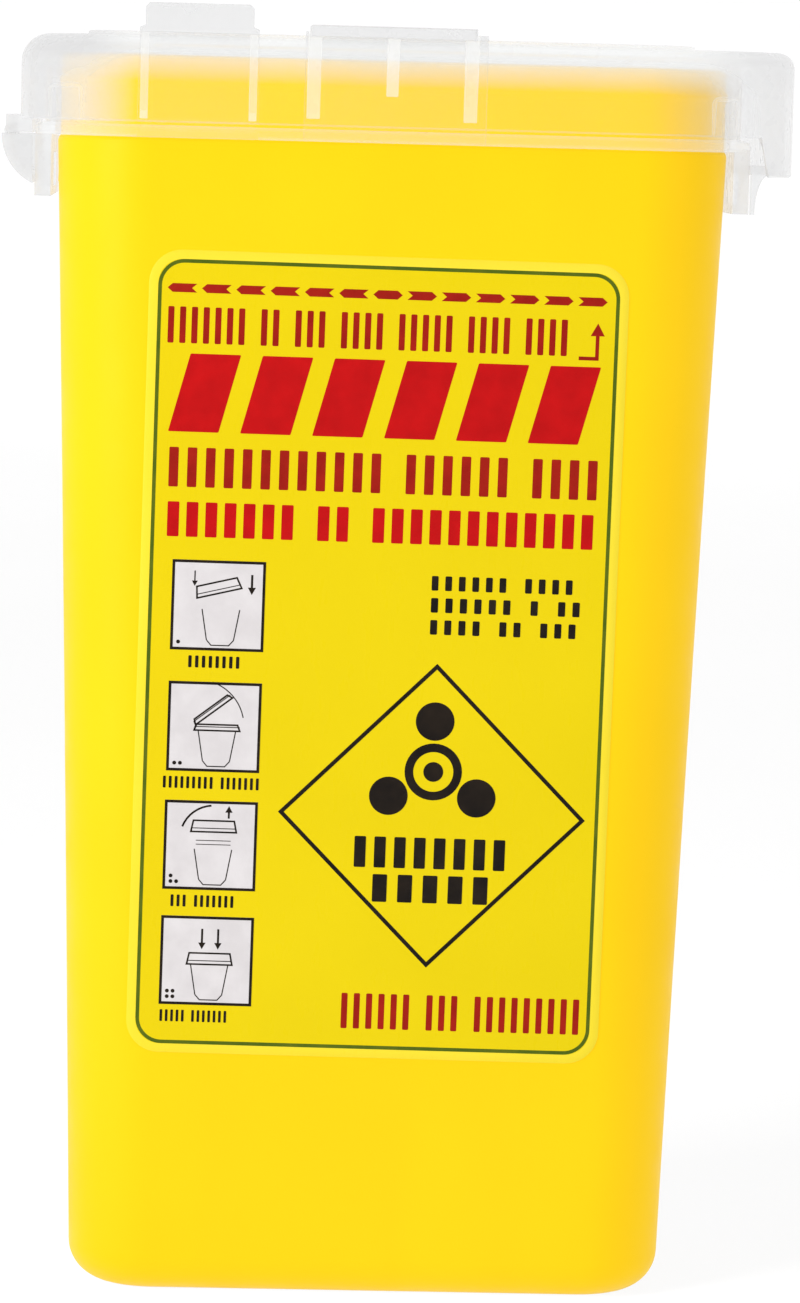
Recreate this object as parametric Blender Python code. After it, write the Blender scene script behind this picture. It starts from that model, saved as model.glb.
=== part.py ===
"""One-litre sharps container: a tapered yellow bin, a translucent push-fit lid frame, and a long
flap hinged at the lid's left end, held shut by a sprung release tab at the front.

Metres, +Z up, the front faces -Y, and the origin is at the centre of the bin's flat underside.
"""

import math

import bmesh
import bpy

# ---------------------------------------------------------------- driving dimensions, in metres

# Bin: outer half sizes at the lid line, how they shrink towards the floor, and its walls.
BIN_HEIGHT = 0.1861
RIM_OVERLAP = 0.0121
BIN_HALF_X = 0.0501
BIN_HALF_Y = 0.0350
SIDE_TAPER = 0.03325
SIDE_BOW = 0.02
FRONT_TAPER = 0.026
BIN_WALL = 0.0015
BIN_FLOOR = 0.0018
BIN_CORNER_RADIUS = 0.0140
BIN_CORNER_EASE = 0.4
FLOOR_EDGE_RADIUS = 0.0060
NECK_STEP = 0.0004
NECK_BEAD = 0.0003
NECK_BEAD_DROP = 0.0040
NECK_BEAD_HALF = 0.0010
NECK_BEAD_FLAT = 0.0004
LUG_HALF_WIDTH = 0.0060
LUG_HEIGHT = 0.0024
LUG_PROUD = 0.0003
LUG_DROP = 0.0060

# Label film on the front wall.
LABEL_WIDTH = 0.0710
LABEL_HEIGHT = 0.1203
LABEL_X = -0.0009
LABEL_Z = 0.0972
LABEL_TILT = 0.5
LABEL_THICKNESS = 0.0003
LABEL_RADIUS = 0.0050

# Lid frame: the collar that pushes down over the rim, with the deck across the top.
FIT_GAP = 0.0004
TOUCH_GAP = 0.0003
FRAME_WALL = 0.0015
DECK_THICKNESS = 0.0010
DECK_EDGE = 0.0024
FLANGE_HEIGHT = 0.0018
FLANGE_CHAMFER = 0.0004
FRAME_CORNER_RADIUS = 0.0150
APERTURE_HALF_X = 0.0360
APERTURE_HALF_Y = 0.0240
APERTURE_RADIUS = 0.0100
NOTCH_LENGTH = 0.0080
NOTCH_HALF_WIDTH = 0.0026
NOTCH_ROOT_RADIUS = 0.0012
END_SKIRT_DROP = 0.0092
END_SKIRT_HALF_WIDTH = 0.0240
END_SKIRT_REACH = 0.0014
END_SKIRT_WALL = 0.0024
WINDOW_MARGIN = 0.0015

# Flap: the long cap over the frame.
LEFT_SPACE = 0.0021
FINGER_SPACE = 0.0059
FLAP_WALL = 0.0011
FLAP_CORNER_RADIUS = 0.0130
FLAP_EDGE_LEFT = 0.0042
FLAP_EDGE_RIGHT = 0.0024
END_WALL_DROP = 0.0035
PLATEAU_INSET_LEFT = 0.0098
PLATEAU_INSET_RIGHT = 0.0149
PLATEAU_INSET_Y = 0.0054
PLATEAU_RISE = 0.0006
PLATEAU_RADIUS = 0.0078
PLUG_CLEARANCE = 0.0010
PLUG_WALL = 0.0012
PLUG_DEPTH = 0.0032
PLUG_LEAD_IN = 0.0003
PRONG_INSET = 0.0060
PRONG_Y = 0.0190
PRONG_WIDTH = 0.0060
PRONG_THICKNESS = 0.0016
PRONG_LENGTH = 0.0058
PRONG_BARB = 0.0006
PRONG_HEAD = 0.0020
PRONG_NECK = 0.0024
PRONG_TIP_SHARE = 0.4
PRONG_CLEARANCE = 0.0010

# Flap hinge: a living hinge along Y at the tip of a quarter-round wing.
HINGE_REACH = 0.0024
HINGE_RISE = 0.0006
HINGE_HALF_LENGTH = 0.0270
LEAF_THICKNESS = 0.0018
WING_RADIUS = 0.0081
WING_WALL = 0.0010
WING_TIP_GAP = 0.0006
WEB_START_ANGLE = 188

# Catch shelf under the flap's right end.
SHELF_REACH = 0.0036
SHELF_THICKNESS = 0.0013
SHELF_DROP = 0.0020
GUSSET_REACH = 0.0026
GUSSET_THICKNESS = 0.0014
GUSSET_FOOT = 0.0006

# Press lip: apron, ledge and three gussets on the front of the flap.
APRON_LEFT = -0.0138
APRON_RIGHT = 0.0129
APRON_THICKNESS = 0.0011
APRON_LIFT = 0.0002
LIP_LEFT = -0.0131
LIP_RIGHT = 0.0111
LIP_THICKNESS = 0.0017
LIP_REACH = 0.0050
LIP_OVERLAP = 0.0030
LIP_NOSE = 0.0004
RIB_THICKNESS = 0.0018
RIB_INSET = 0.0006
RIB_NOSE = 0.0012
RIB_FOOT = 0.0006
RIB_FOOT_REACH = 0.0002
OUTER_RIB_DEPTH = 0.0125
MIDDLE_RIB_DEPTH = 0.0090

# Release tab: a tall sprung blade at the front left.
TAB_LEFT = -0.0382
TAB_RIGHT = -0.0204
TAB_RISE = 0.0041
TAB_SHOULDER = 0.0036
TAB_TOP_INSET = 0.0010
TAB_TOP_CHAMFER = 0.0006
TAB_DRAFT = 0.0002
TAB_WALL = 0.0012
TAB_RIB = 0.0011
TAB_RIB_REACH = 0.0018
TAB_RIB_INSET = 0.0004
TAB_RIB_RISE = 0.0016
TAB_RIB_END = 0.0030
TAB_HINGE_GAP = 0.0005
TAB_PAD_WALL = 0.0012

CORNER_STEPS = 9
SMALL_CORNER_STEPS = 6
EDGE_STEPS = 6
WALL_LEVELS = 6
ARC_STEPS = 10
SHARP_ANGLE = 35

# How far a cutter stands out past what it cuts.
OVERCUT = 0.0010

# ---------------------------------------------------------------- sizes worked out from the above

LID_LINE = BIN_HEIGHT - RIM_OVERLAP
LUG_Z = LID_LINE - LUG_DROP
DECK_LOW = BIN_HEIGHT + TOUCH_GAP
DECK_TOP = DECK_LOW + DECK_THICKNESS
FRAME_IN_X = BIN_HALF_X + FIT_GAP
FRAME_IN_Y = BIN_HALF_Y + FIT_GAP
FRAME_OUT_X = FRAME_IN_X + FRAME_WALL
FRAME_OUT_Y = FRAME_IN_Y + FRAME_WALL
FLANGE_REACH = FIT_GAP + FLAP_WALL
FLANGE_TOP = LID_LINE + FLANGE_HEIGHT
PRONG_X = FRAME_IN_X - PRONG_INSET
END_SKIRT_OUT = FRAME_OUT_X + END_SKIRT_REACH
END_SKIRT_LOW = LID_LINE - END_SKIRT_DROP

FLAP_HALF_Y = FRAME_OUT_Y + FIT_GAP + FLAP_WALL
FLAP_UNDER = DECK_TOP + FIT_GAP
FLAP_TOP = FLAP_UNDER + FLAP_WALL
FLAP_LEFT = -(FRAME_OUT_X + FLANGE_REACH + LEFT_SPACE)
FLAP_RIGHT = FRAME_OUT_X + FLANGE_REACH + FINGER_SPACE
PLATEAU_TOP = FLAP_TOP + PLATEAU_RISE
SKIRT_LOW = FLANGE_TOP + FIT_GAP
END_WALL_LOW = LID_LINE - END_WALL_DROP

LIP_LOW = FLAP_TOP + TOUCH_GAP
HINGE_X = FLAP_LEFT - HINGE_REACH
HINGE_Z = LID_LINE + HINGE_RISE
APRON_LOW = LID_LINE + APRON_LIFT
APRON_BACK = -FLAP_HALF_Y - TOUCH_GAP
APRON_FRONT = APRON_BACK - APRON_THICKNESS
TAB_BACK = APRON_BACK
TAB_FRONT = TAB_BACK - TAB_WALL
TAB_LOW = FLANGE_TOP + TAB_HINGE_GAP
TAB_TOP = PLATEAU_TOP + TAB_RISE


# ---------------------------------------------------------------- outlines and mesh helpers


def rounded_rectangle(x0, x1, y0, y1, radius, steps=CORNER_STEPS):
    """Points anticlockwise round a rectangle with arcs at its corners."""
    corners = (
        (x1 - radius, y0 + radius, -90),
        (x1 - radius, y1 - radius, 0),
        (x0 + radius, y1 - radius, 90),
        (x0 + radius, y0 + radius, 180),
    )
    points = []
    for cx, cy, start in corners:
        for step in range(steps + 1):
            angle = math.radians(start + 90 * step / steps)
            points.append((cx + radius * math.cos(angle), cy + radius * math.sin(angle)))
    return points


def centred_rectangle(half_x, half_y, radius, steps=CORNER_STEPS):
    return rounded_rectangle(-half_x, half_x, -half_y, half_y, radius, steps)


def at_height(outline, z):
    return [(x, y, z) for x, y in outline]


def arc(cx, cz, radius_x, radius_z, start, end, steps):
    """Points on an elliptic arc in the XZ plane, from one angle to another in degrees."""
    angles = [math.radians(start + (end - start) * i / steps) for i in range(steps + 1)]
    return [(cx + radius_x * math.cos(a), cz + radius_z * math.sin(a)) for a in angles]


def new_object(name, mesh_data, helper=False):
    mesh = bpy.data.meshes.new(name)
    mesh_data.to_mesh(mesh)
    mesh_data.free()
    obj = bpy.data.objects.new(name, mesh)
    bpy.context.scene.collection.objects.link(obj)
    if helper:
        obj.hide_render = True
        obj.display_type = "WIRE"
    return obj


def loft(name, rings, ring_shaped=False, helper=False):
    """A closed solid through rings of equal length. Its ends are capped, or it closes on itself."""
    bm = bmesh.new()
    rows = [[bm.verts.new(point) for point in ring] for ring in rings]
    pairs = list(zip(rows, rows[1:]))
    if ring_shaped:
        pairs.append((rows[-1], rows[0]))
    count = len(rows[0])
    for low, high in pairs:
        for i in range(count):
            j = (i + 1) % count
            bm.faces.new((low[i], low[j], high[j], high[i]))
    if not ring_shaped:
        bm.faces.new(list(reversed(rows[0])))
        bm.faces.new(rows[-1])
    bmesh.ops.recalc_face_normals(bm, faces=bm.faces)
    return new_object(name, bm, helper)


def slab(name, outline, z0, z1, helper=False):
    """An outline in the XY plane, made solid between two heights."""
    return loft(name, [at_height(outline, z0), at_height(outline, z1)], helper=helper)


def side_prism(name, outline_xz, y0, y1, helper=False):
    """An outline in the XZ plane, made solid between two Y positions."""
    rings = [[(x, y, z) for x, z in outline_xz] for y in (y0, y1)]
    return loft(name, rings, helper=helper)


def front_prism(name, outline_yz, x0, x1, helper=False):
    """An outline in the YZ plane, made solid between two X positions."""
    rings = [[(x, y, z) for y, z in outline_yz] for x in (x0, x1)]
    return loft(name, rings, helper=helper)


def box(name, low, high, helper=True):
    outline = [(low[0], low[1]), (high[0], low[1]), (high[0], high[1]), (low[0], high[1])]
    return slab(name, outline, low[2], high[2], helper)


def combine(obj, operation, *others):
    """Adds one Boolean for each helper solid."""
    for other in others:
        modifier = obj.modifiers.new(other.name, "BOOLEAN")
        modifier.operation = operation
        modifier.solver = "EXACT"
        modifier.object = other


def finish(obj, material):
    """Gives a solid its material, and smooth shading between its sharp edges."""
    obj.data.materials.append(material)
    obj.data.shade_smooth()
    obj.data.set_sharp_from_angle(angle=math.radians(SHARP_ANGLE))


def plastic(name, colour, roughness, alpha=1.0):
    material = bpy.data.materials.new(name)
    material.use_nodes = True
    shader = material.node_tree.nodes["Principled BSDF"]
    shader.inputs["Base Color"].default_value = (*colour, 1.0)
    shader.inputs["Roughness"].default_value = roughness
    shader.inputs["Metallic"].default_value = 0.0
    shader.inputs["Alpha"].default_value = alpha
    return material


def joint_empty(name, location):
    empty = bpy.data.objects.new(name, None)
    empty.location = location
    bpy.context.scene.collection.objects.link(empty)
    return empty


def hang_on(empty, *objects):
    """Parents solids to the empty on their joint's axis, leaving them where they are."""
    for obj in objects:
        obj.parent = empty
        obj.matrix_parent_inverse = empty.matrix_basis.inverted()


# ---------------------------------------------------------------- bin


def bin_half_x(z):
    """Outer half width: the side walls lean in towards the floor and ease off low down."""
    drop = LID_LINE - min(z, LID_LINE)
    return BIN_HALF_X - SIDE_TAPER * drop + SIDE_BOW * drop * drop


def bin_half_y(z):
    return BIN_HALF_Y - FRONT_TAPER * (LID_LINE - min(z, LID_LINE))


def bin_ring(z, inset):
    half_x = bin_half_x(z) - inset
    half_y = bin_half_y(z) - inset
    radius = BIN_CORNER_RADIUS * half_y / BIN_HALF_Y - BIN_CORNER_EASE * inset
    return at_height(centred_rectangle(half_x, half_y, radius), z)


def bin_outer_rings():
    rings = []
    for step in range(EDGE_STEPS + 1):
        angle = math.radians(90 * step / EDGE_STEPS)
        inset = FLOOR_EDGE_RADIUS * (1 - math.sin(angle))
        rings.append(bin_ring(FLOOR_EDGE_RADIUS * (1 - math.cos(angle)), inset))
    neck = LID_LINE - 2 * NECK_STEP
    for level in range(1, WALL_LEVELS + 1):
        share = level / WALL_LEVELS
        rings.append(bin_ring(FLOOR_EDGE_RADIUS + (neck - FLOOR_EDGE_RADIUS) * share, 0))
    rings.append(bin_ring(LID_LINE, NECK_STEP))
    bead = BIN_HEIGHT - NECK_BEAD_DROP
    rings.append(bin_ring(bead - NECK_BEAD_HALF, NECK_STEP))
    rings.append(bin_ring(bead - NECK_BEAD_FLAT, NECK_STEP - NECK_BEAD))
    rings.append(bin_ring(bead + NECK_BEAD_FLAT, NECK_STEP - NECK_BEAD))
    rings.append(bin_ring(bead + NECK_BEAD_HALF, NECK_STEP))
    rings.append(bin_ring(BIN_HEIGHT - BIN_WALL / 3, NECK_STEP))
    rings.append(bin_ring(BIN_HEIGHT, NECK_STEP + BIN_WALL / 4))
    return rings


def bin_inner_rings():
    inner_radius = FLOOR_EDGE_RADIUS - BIN_WALL
    rings = [bin_ring(BIN_HEIGHT, BIN_WALL * 0.75), bin_ring(BIN_HEIGHT - BIN_WALL / 3, BIN_WALL)]
    low = BIN_FLOOR + inner_radius
    for level in range(WALL_LEVELS + 1):
        rings.append(bin_ring(LID_LINE + (low - LID_LINE) * level / WALL_LEVELS, BIN_WALL))
    for step in range(1, EDGE_STEPS + 1):
        angle = math.radians(90 * step / EDGE_STEPS)
        inset = BIN_WALL + inner_radius * (1 - math.cos(angle))
        rings.append(bin_ring(BIN_FLOOR + inner_radius * (1 - math.sin(angle)), inset))
    return rings


def snap_lug(side):
    """A ramped lug on an end wall, which stands in the window of the frame's end skirt."""
    wall = bin_half_x(LUG_Z)
    out = FRAME_IN_X - FIT_GAP + LUG_PROUD
    outline = [
        (wall - BIN_WALL / 2, LUG_Z - LUG_HEIGHT / 2),
        (out, LUG_Z - LUG_HEIGHT / 2),
        (out, LUG_Z),
        (wall - BIN_WALL / 2, LUG_Z + LUG_HEIGHT),
    ]
    outline = [(side * x, z) for x, z in outline]
    name = "lug_left" if side < 0 else "lug_right"
    return side_prism(name, outline, -LUG_HALF_WIDTH, LUG_HALF_WIDTH, helper=True)


def make_bin(material):
    shell = loft("bin_shell", bin_outer_rings() + bin_inner_rings())
    combine(shell, "UNION", snap_lug(-1), snap_lug(1))
    finish(shell, material)
    return shell


def make_label(material):
    """The printed film, parallel to the leaning front wall and just clear of it."""
    half_width, half_height = LABEL_WIDTH / 2, LABEL_HEIGHT / 2
    outline = centred_rectangle(half_width, half_height, LABEL_RADIUS, SMALL_CORNER_STEPS)
    cosine, sine = math.cos(math.radians(LABEL_TILT)), math.sin(math.radians(LABEL_TILT))
    turned = [
        (LABEL_X + x * cosine + up * sine, LABEL_Z + up * cosine - x * sine) for x, up in outline
    ]
    rings = []
    for gap in (TOUCH_GAP, TOUCH_GAP + LABEL_THICKNESS):
        rings.append([(x, -bin_half_y(z) - gap, z) for x, z in turned])
    film = loft("front_label", rings)
    finish(film, material)
    return film


# ---------------------------------------------------------------- lid frame


def frame_profile():
    """(outward offset from the collar's inner face, height) round the collar, bottom inside first."""
    flange_out = FRAME_WALL + FLANGE_REACH
    shoulder = DECK_EDGE * (1 - math.sqrt(0.5))
    return [
        (0.0, LID_LINE),
        (flange_out - FLANGE_CHAMFER, LID_LINE),
        (flange_out, LID_LINE + FLANGE_CHAMFER),
        (flange_out, FLANGE_TOP - FLANGE_CHAMFER),
        (flange_out - FLANGE_CHAMFER, FLANGE_TOP),
        (FRAME_WALL, FLANGE_TOP),
        (FRAME_WALL, DECK_TOP - DECK_EDGE),
        (FRAME_WALL - shoulder, DECK_TOP - shoulder),
        (FRAME_WALL - DECK_EDGE, DECK_TOP),
    ]


def frame_ring(offset, z):
    outline = centred_rectangle(
        FRAME_IN_X + offset, FRAME_IN_Y + offset, FRAME_CORNER_RADIUS - FRAME_WALL + offset
    )
    return at_height(outline, z)


def aperture_ring(z):
    return at_height(centred_rectangle(APERTURE_HALF_X, APERTURE_HALF_Y, APERTURE_RADIUS), z)


def needle_notch(side):
    """A tapering slot at the aperture's end, which grips a needle's hub while it is unscrewed."""
    start = side * (APERTURE_HALF_X - OVERCUT)
    tip = side * (APERTURE_HALF_X + NOTCH_LENGTH)
    outline = [(start, -NOTCH_HALF_WIDTH), (tip, -NOTCH_ROOT_RADIUS)]
    for step in range(1, SMALL_CORNER_STEPS):
        angle = math.radians(-90 + 180 * step / SMALL_CORNER_STEPS)
        outline.append(
            (tip + side * NOTCH_ROOT_RADIUS * math.cos(angle), NOTCH_ROOT_RADIUS * math.sin(angle))
        )
    outline += [(tip, NOTCH_ROOT_RADIUS), (start, NOTCH_HALF_WIDTH)]
    name = "notch_left" if side < 0 else "notch_right"
    return slab(name, outline, DECK_LOW - OVERCUT, DECK_TOP + OVERCUT, helper=True)


def end_skirt(side):
    name = "skirt_left" if side < 0 else "skirt_right"
    inner, outer = side * (END_SKIRT_OUT - END_SKIRT_WALL), side * END_SKIRT_OUT
    low = (min(inner, outer), -END_SKIRT_HALF_WIDTH, END_SKIRT_LOW)
    high = (max(inner, outer), END_SKIRT_HALF_WIDTH, LID_LINE + FLANGE_HEIGHT / 2)
    return box(name, low, high)


def lug_window(side):
    name = "window_left" if side < 0 else "window_right"
    inner, outer = side * (FRAME_IN_X - OVERCUT), side * (END_SKIRT_OUT + OVERCUT)
    half_width = LUG_HALF_WIDTH + WINDOW_MARGIN
    low = (min(inner, outer), -half_width, LUG_Z - LUG_HEIGHT / 2 - WINDOW_MARGIN / 2)
    high = (max(inner, outer), half_width, LUG_Z + LUG_HEIGHT + WINDOW_MARGIN / 2)
    return box(name, low, high)


def prong_slot(side):
    name = "slot_front" if side < 0 else "slot_back"
    half_x = PRONG_THICKNESS / 2 + PRONG_BARB + PRONG_CLEARANCE
    half_y = PRONG_WIDTH / 2 + PRONG_CLEARANCE
    low = (PRONG_X - half_x, side * PRONG_Y - half_y, DECK_LOW - OVERCUT)
    high = (PRONG_X + half_x, side * PRONG_Y + half_y, DECK_TOP + OVERCUT)
    return box(name, low, high)


def tab_pad():
    """The flange's local step forward, under the release tab."""
    low = (TAB_LEFT, TAB_FRONT, LID_LINE)
    high = (TAB_RIGHT, -FRAME_OUT_Y - FLANGE_REACH / 2, LID_LINE + TAB_PAD_WALL)
    return box("tab_pad", low, high)


def make_frame(material):
    rings = [frame_ring(offset, z) for offset, z in frame_profile()]
    rings += [aperture_ring(DECK_TOP), aperture_ring(DECK_LOW), frame_ring(0.0, DECK_LOW)]
    frame = loft("lid_frame", rings, ring_shaped=True)
    combine(frame, "UNION", end_skirt(-1), end_skirt(1), tab_pad())
    combine(frame, "DIFFERENCE", lug_window(-1), lug_window(1), needle_notch(1))
    combine(frame, "DIFFERENCE", prong_slot(-1), prong_slot(1))
    finish(frame, material)
    return frame


def make_wing(material):
    """A quarter-round wing on the left end skirt, with a web closing each end."""
    centre_x = HINGE_X - TOUCH_GAP + WING_RADIUS
    centre_z = HINGE_Z - WING_TIP_GAP
    foot_x = -END_SKIRT_OUT - TOUCH_GAP
    foot_angle = 180 + math.degrees(math.acos((centre_x - foot_x) / WING_RADIUS))
    inner_radius = WING_RADIUS - WING_WALL
    inner_foot = 180 + math.degrees(math.acos((centre_x - foot_x) / inner_radius))
    outer = arc(centre_x, centre_z, WING_RADIUS, WING_RADIUS, 180, foot_angle, ARC_STEPS)
    inner = arc(centre_x, centre_z, inner_radius, inner_radius, inner_foot, 180, ARC_STEPS)
    wing = side_prism("hinge_wing", outer + inner, -HINGE_HALF_LENGTH, HINGE_HALF_LENGTH)
    web_outline = arc(
        centre_x, centre_z, WING_RADIUS, WING_RADIUS, WEB_START_ANGLE, foot_angle, ARC_STEPS
    )
    web_outline.append((foot_x, web_outline[0][1]))
    for side in (-1, 1):
        edge = side * HINGE_HALF_LENGTH
        inside = edge - side * WING_WALL
        web = side_prism(f"wing_web_{side + 1}", web_outline, min(edge, inside), max(edge, inside), True)
        combine(wing, "UNION", web)
    finish(wing, material)
    return wing


def make_shelf(material):
    """The ledge under the flap's right end, on three gussets with hollow lower edges."""
    root = END_SKIRT_OUT + TOUCH_GAP
    top = LID_LINE - SHELF_DROP
    low = (root, -END_SKIRT_HALF_WIDTH, top - SHELF_THICKNESS)
    high = (root + SHELF_REACH, END_SKIRT_HALF_WIDTH, top)
    shelf = box("catch_shelf", low, high, helper=False)
    centre_x, foot_z = root + GUSSET_REACH, END_SKIRT_LOW
    rise = top - SHELF_THICKNESS - foot_z
    outline = arc(centre_x, foot_z, GUSSET_REACH - GUSSET_FOOT, rise, 90, 180, ARC_STEPS)
    outline += [(root, foot_z), (root, top - SHELF_THICKNESS / 2), (centre_x, top - SHELF_THICKNESS / 2)]
    for number, y in enumerate((-1, 0, 1)):
        middle = y * (END_SKIRT_HALF_WIDTH - GUSSET_THICKNESS / 2)
        gusset = side_prism(
            f"gusset_{number}", outline, middle - GUSSET_THICKNESS / 2, middle + GUSSET_THICKNESS / 2, True
        )
        combine(shelf, "UNION", gusset)
    finish(shelf, material)
    return shelf


# ---------------------------------------------------------------- flap


def flap_ring(inset, depth, z_top):
    """The cap's outline, moved in by a wall and by its rounded top edge at one step of the arc."""
    outline = rounded_rectangle(
        FLAP_LEFT + inset,
        FLAP_RIGHT - inset,
        -FLAP_HALF_Y + inset,
        FLAP_HALF_Y - inset,
        FLAP_CORNER_RADIUS - inset,
    )
    centre_x = (FLAP_LEFT + FLAP_RIGHT) / 2
    half_x = (FLAP_RIGHT - FLAP_LEFT) / 2 - inset
    half_y = FLAP_HALF_Y - inset
    ring = []
    for x, y in outline:
        share = (x - FLAP_LEFT) / (FLAP_RIGHT - FLAP_LEFT)
        radius = FLAP_EDGE_LEFT + (FLAP_EDGE_RIGHT - FLAP_EDGE_LEFT) * share - inset
        pull = radius * (1 - math.cos(depth))
        scale_x, scale_y = 1 - pull / half_x, 1 - pull / half_y
        z = z_top - radius * (1 - math.sin(depth))
        ring.append((centre_x + (x - centre_x) * scale_x, y * scale_y, z))
    return ring


def flap_rings():
    steps = [math.radians(90 * step / EDGE_STEPS) for step in range(EDGE_STEPS + 1)]
    inner = [flap_ring(FLAP_WALL, depth, FLAP_UNDER) for depth in reversed(steps)]
    outer = [flap_ring(0, depth, FLAP_TOP) for depth in steps]
    inner_low = [(x, y, END_WALL_LOW) for x, y, _ in inner[-1]]
    outer_low = [(x, y, END_WALL_LOW) for x, y, _ in outer[0]]
    return inner + [inner_low, outer_low] + outer


def make_flap(material):
    flap = loft("flap_cap", flap_rings())
    plateau = rounded_rectangle(
        FLAP_LEFT + PLATEAU_INSET_LEFT,
        FLAP_RIGHT - PLATEAU_INSET_RIGHT,
        -FLAP_HALF_Y + PLATEAU_INSET_Y,
        FLAP_HALF_Y - PLATEAU_INSET_Y,
        PLATEAU_RADIUS,
    )
    raised = slab("plateau", plateau, FLAP_TOP - FLAP_WALL / 2, PLATEAU_TOP, helper=True)
    leaf_low = HINGE_Z + FIT_GAP
    hinge_leaf = box(
        "hinge_leaf",
        (HINGE_X + TOUCH_GAP, -HINGE_HALF_LENGTH, leaf_low),
        (FLAP_LEFT + FLAP_WALL / 2, HINGE_HALF_LENGTH, leaf_low + LEAF_THICKNESS),
    )
    side_clear = box(
        "skirt_clearance",
        (FLAP_LEFT - OVERCUT, -FLAP_HALF_Y - OVERCUT, END_WALL_LOW - OVERCUT),
        (END_SKIRT_OUT + TOUCH_GAP, FLAP_HALF_Y + OVERCUT, SKIRT_LOW),
    )
    combine(flap, "DIFFERENCE", side_clear)
    combine(flap, "UNION", raised, hinge_leaf)
    finish(flap, material)
    return flap


def make_plug(material):
    """The collar under the flap, which drops into the aperture."""
    half_x = APERTURE_HALF_X - PLUG_CLEARANCE
    half_y = APERTURE_HALF_Y - PLUG_CLEARANCE
    radius = APERTURE_RADIUS - PLUG_CLEARANCE
    top = FLAP_UNDER - TOUCH_GAP
    low = top - PLUG_DEPTH
    outer, outer_low, inner = [
        centred_rectangle(half_x - inset, half_y - inset, radius - inset, SMALL_CORNER_STEPS)
        for inset in (0.0, PLUG_LEAD_IN, PLUG_WALL)
    ]
    rings = [at_height(outer_low, low), at_height(outer, top), at_height(inner, top), at_height(inner, low)]
    plug = loft("flap_plug", rings, ring_shaped=True)
    finish(plug, material)
    return plug


def make_prong(name, side, material):
    """One arrow-headed prong of the final lock, which passes through its slot in the deck."""
    top = FLAP_UNDER - TOUCH_GAP
    half = PRONG_THICKNESS / 2
    low = top - PRONG_LENGTH
    outline = [
        (PRONG_X - half, top),
        (PRONG_X - half, low + PRONG_NECK),
        (PRONG_X - half - PRONG_BARB, low + PRONG_HEAD),
        (PRONG_X - half * PRONG_TIP_SHARE, low),
        (PRONG_X + half * PRONG_TIP_SHARE, low),
        (PRONG_X + half + PRONG_BARB, low + PRONG_HEAD),
        (PRONG_X + half, low + PRONG_NECK),
        (PRONG_X + half, top),
    ]
    middle = side * PRONG_Y
    prong = side_prism(name, outline, middle - PRONG_WIDTH / 2, middle + PRONG_WIDTH / 2)
    finish(prong, material)
    return prong


def gusset(name, x, depth):
    """A press-lip gusset: full reach under the ledge, tapering down to the apron."""
    top = LIP_LOW + LIP_THICKNESS / 2
    root = APRON_FRONT + APRON_THICKNESS / 2
    outline = [
        (root, top),
        (root, top - depth - RIB_FOOT),
        (APRON_FRONT - RIB_FOOT_REACH, top - depth),
        (-FLAP_HALF_Y - LIP_REACH, top - RIB_NOSE),
        (-FLAP_HALF_Y - LIP_REACH, top),
    ]
    return front_prism(name, outline, x - RIB_THICKNESS / 2, x + RIB_THICKNESS / 2, helper=True)


def make_press_lip(material):
    apron = box(
        "press_lip",
        (APRON_LEFT, APRON_FRONT, APRON_LOW),
        (APRON_RIGHT, APRON_BACK, LIP_LOW + LIP_THICKNESS / 2),
        helper=False,
    )
    ledge = box(
        "ledge",
        (LIP_LEFT, -FLAP_HALF_Y - LIP_REACH - LIP_NOSE, LIP_LOW),
        (LIP_RIGHT, -FLAP_HALF_Y + LIP_OVERLAP, LIP_LOW + LIP_THICKNESS),
    )
    ribs = (
        gusset("rib_left", LIP_LEFT + RIB_INSET, OUTER_RIB_DEPTH),
        gusset("rib_middle", (LIP_LEFT + LIP_RIGHT) / 2, MIDDLE_RIB_DEPTH),
        gusset("rib_right", LIP_RIGHT - RIB_INSET, OUTER_RIB_DEPTH),
    )
    combine(apron, "UNION", ledge, *ribs)
    finish(apron, material)
    return apron


# ---------------------------------------------------------------- release tab


def make_release_tab(material):
    """A blade with a rib down each side, and a narrower grip that stands above the flap."""
    shoulder = TAB_TOP - TAB_SHOULDER
    top_left, top_right = TAB_LEFT + TAB_TOP_INSET, TAB_RIGHT - TAB_TOP_INSET
    outline = [
        (TAB_LEFT, TAB_LOW),
        (TAB_RIGHT, TAB_LOW),
        (TAB_RIGHT - TAB_DRAFT, shoulder),
        (top_right, TAB_TOP - TAB_TOP_CHAMFER),
        (top_right - TAB_TOP_CHAMFER, TAB_TOP),
        (top_left + TAB_TOP_CHAMFER, TAB_TOP),
        (top_left, TAB_TOP - TAB_TOP_CHAMFER),
        (TAB_LEFT + TAB_DRAFT, shoulder),
    ]
    tab = side_prism("release_tab", outline, TAB_FRONT, TAB_BACK)
    rib_outline = [
        (TAB_FRONT + TAB_WALL / 2, TAB_LOW),
        (TAB_FRONT - TAB_RIB_REACH, TAB_LOW + TAB_RIB_RISE),
        (TAB_FRONT - TAB_RIB_REACH, shoulder - TAB_RIB_END),
        (TAB_FRONT + TAB_WALL / 2, shoulder),
    ]
    for number, x in enumerate((TAB_LEFT + TAB_RIB_INSET, TAB_RIGHT - TAB_RIB_INSET - TAB_RIB)):
        combine(tab, "UNION", front_prism(f"tab_rib_{number}", rib_outline, x, x + TAB_RIB, True))
    finish(tab, material)
    return tab


# ---------------------------------------------------------------- the whole container


def clear_scene():
    for obj in list(bpy.data.objects):
        bpy.data.objects.remove(obj, do_unlink=True)


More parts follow.
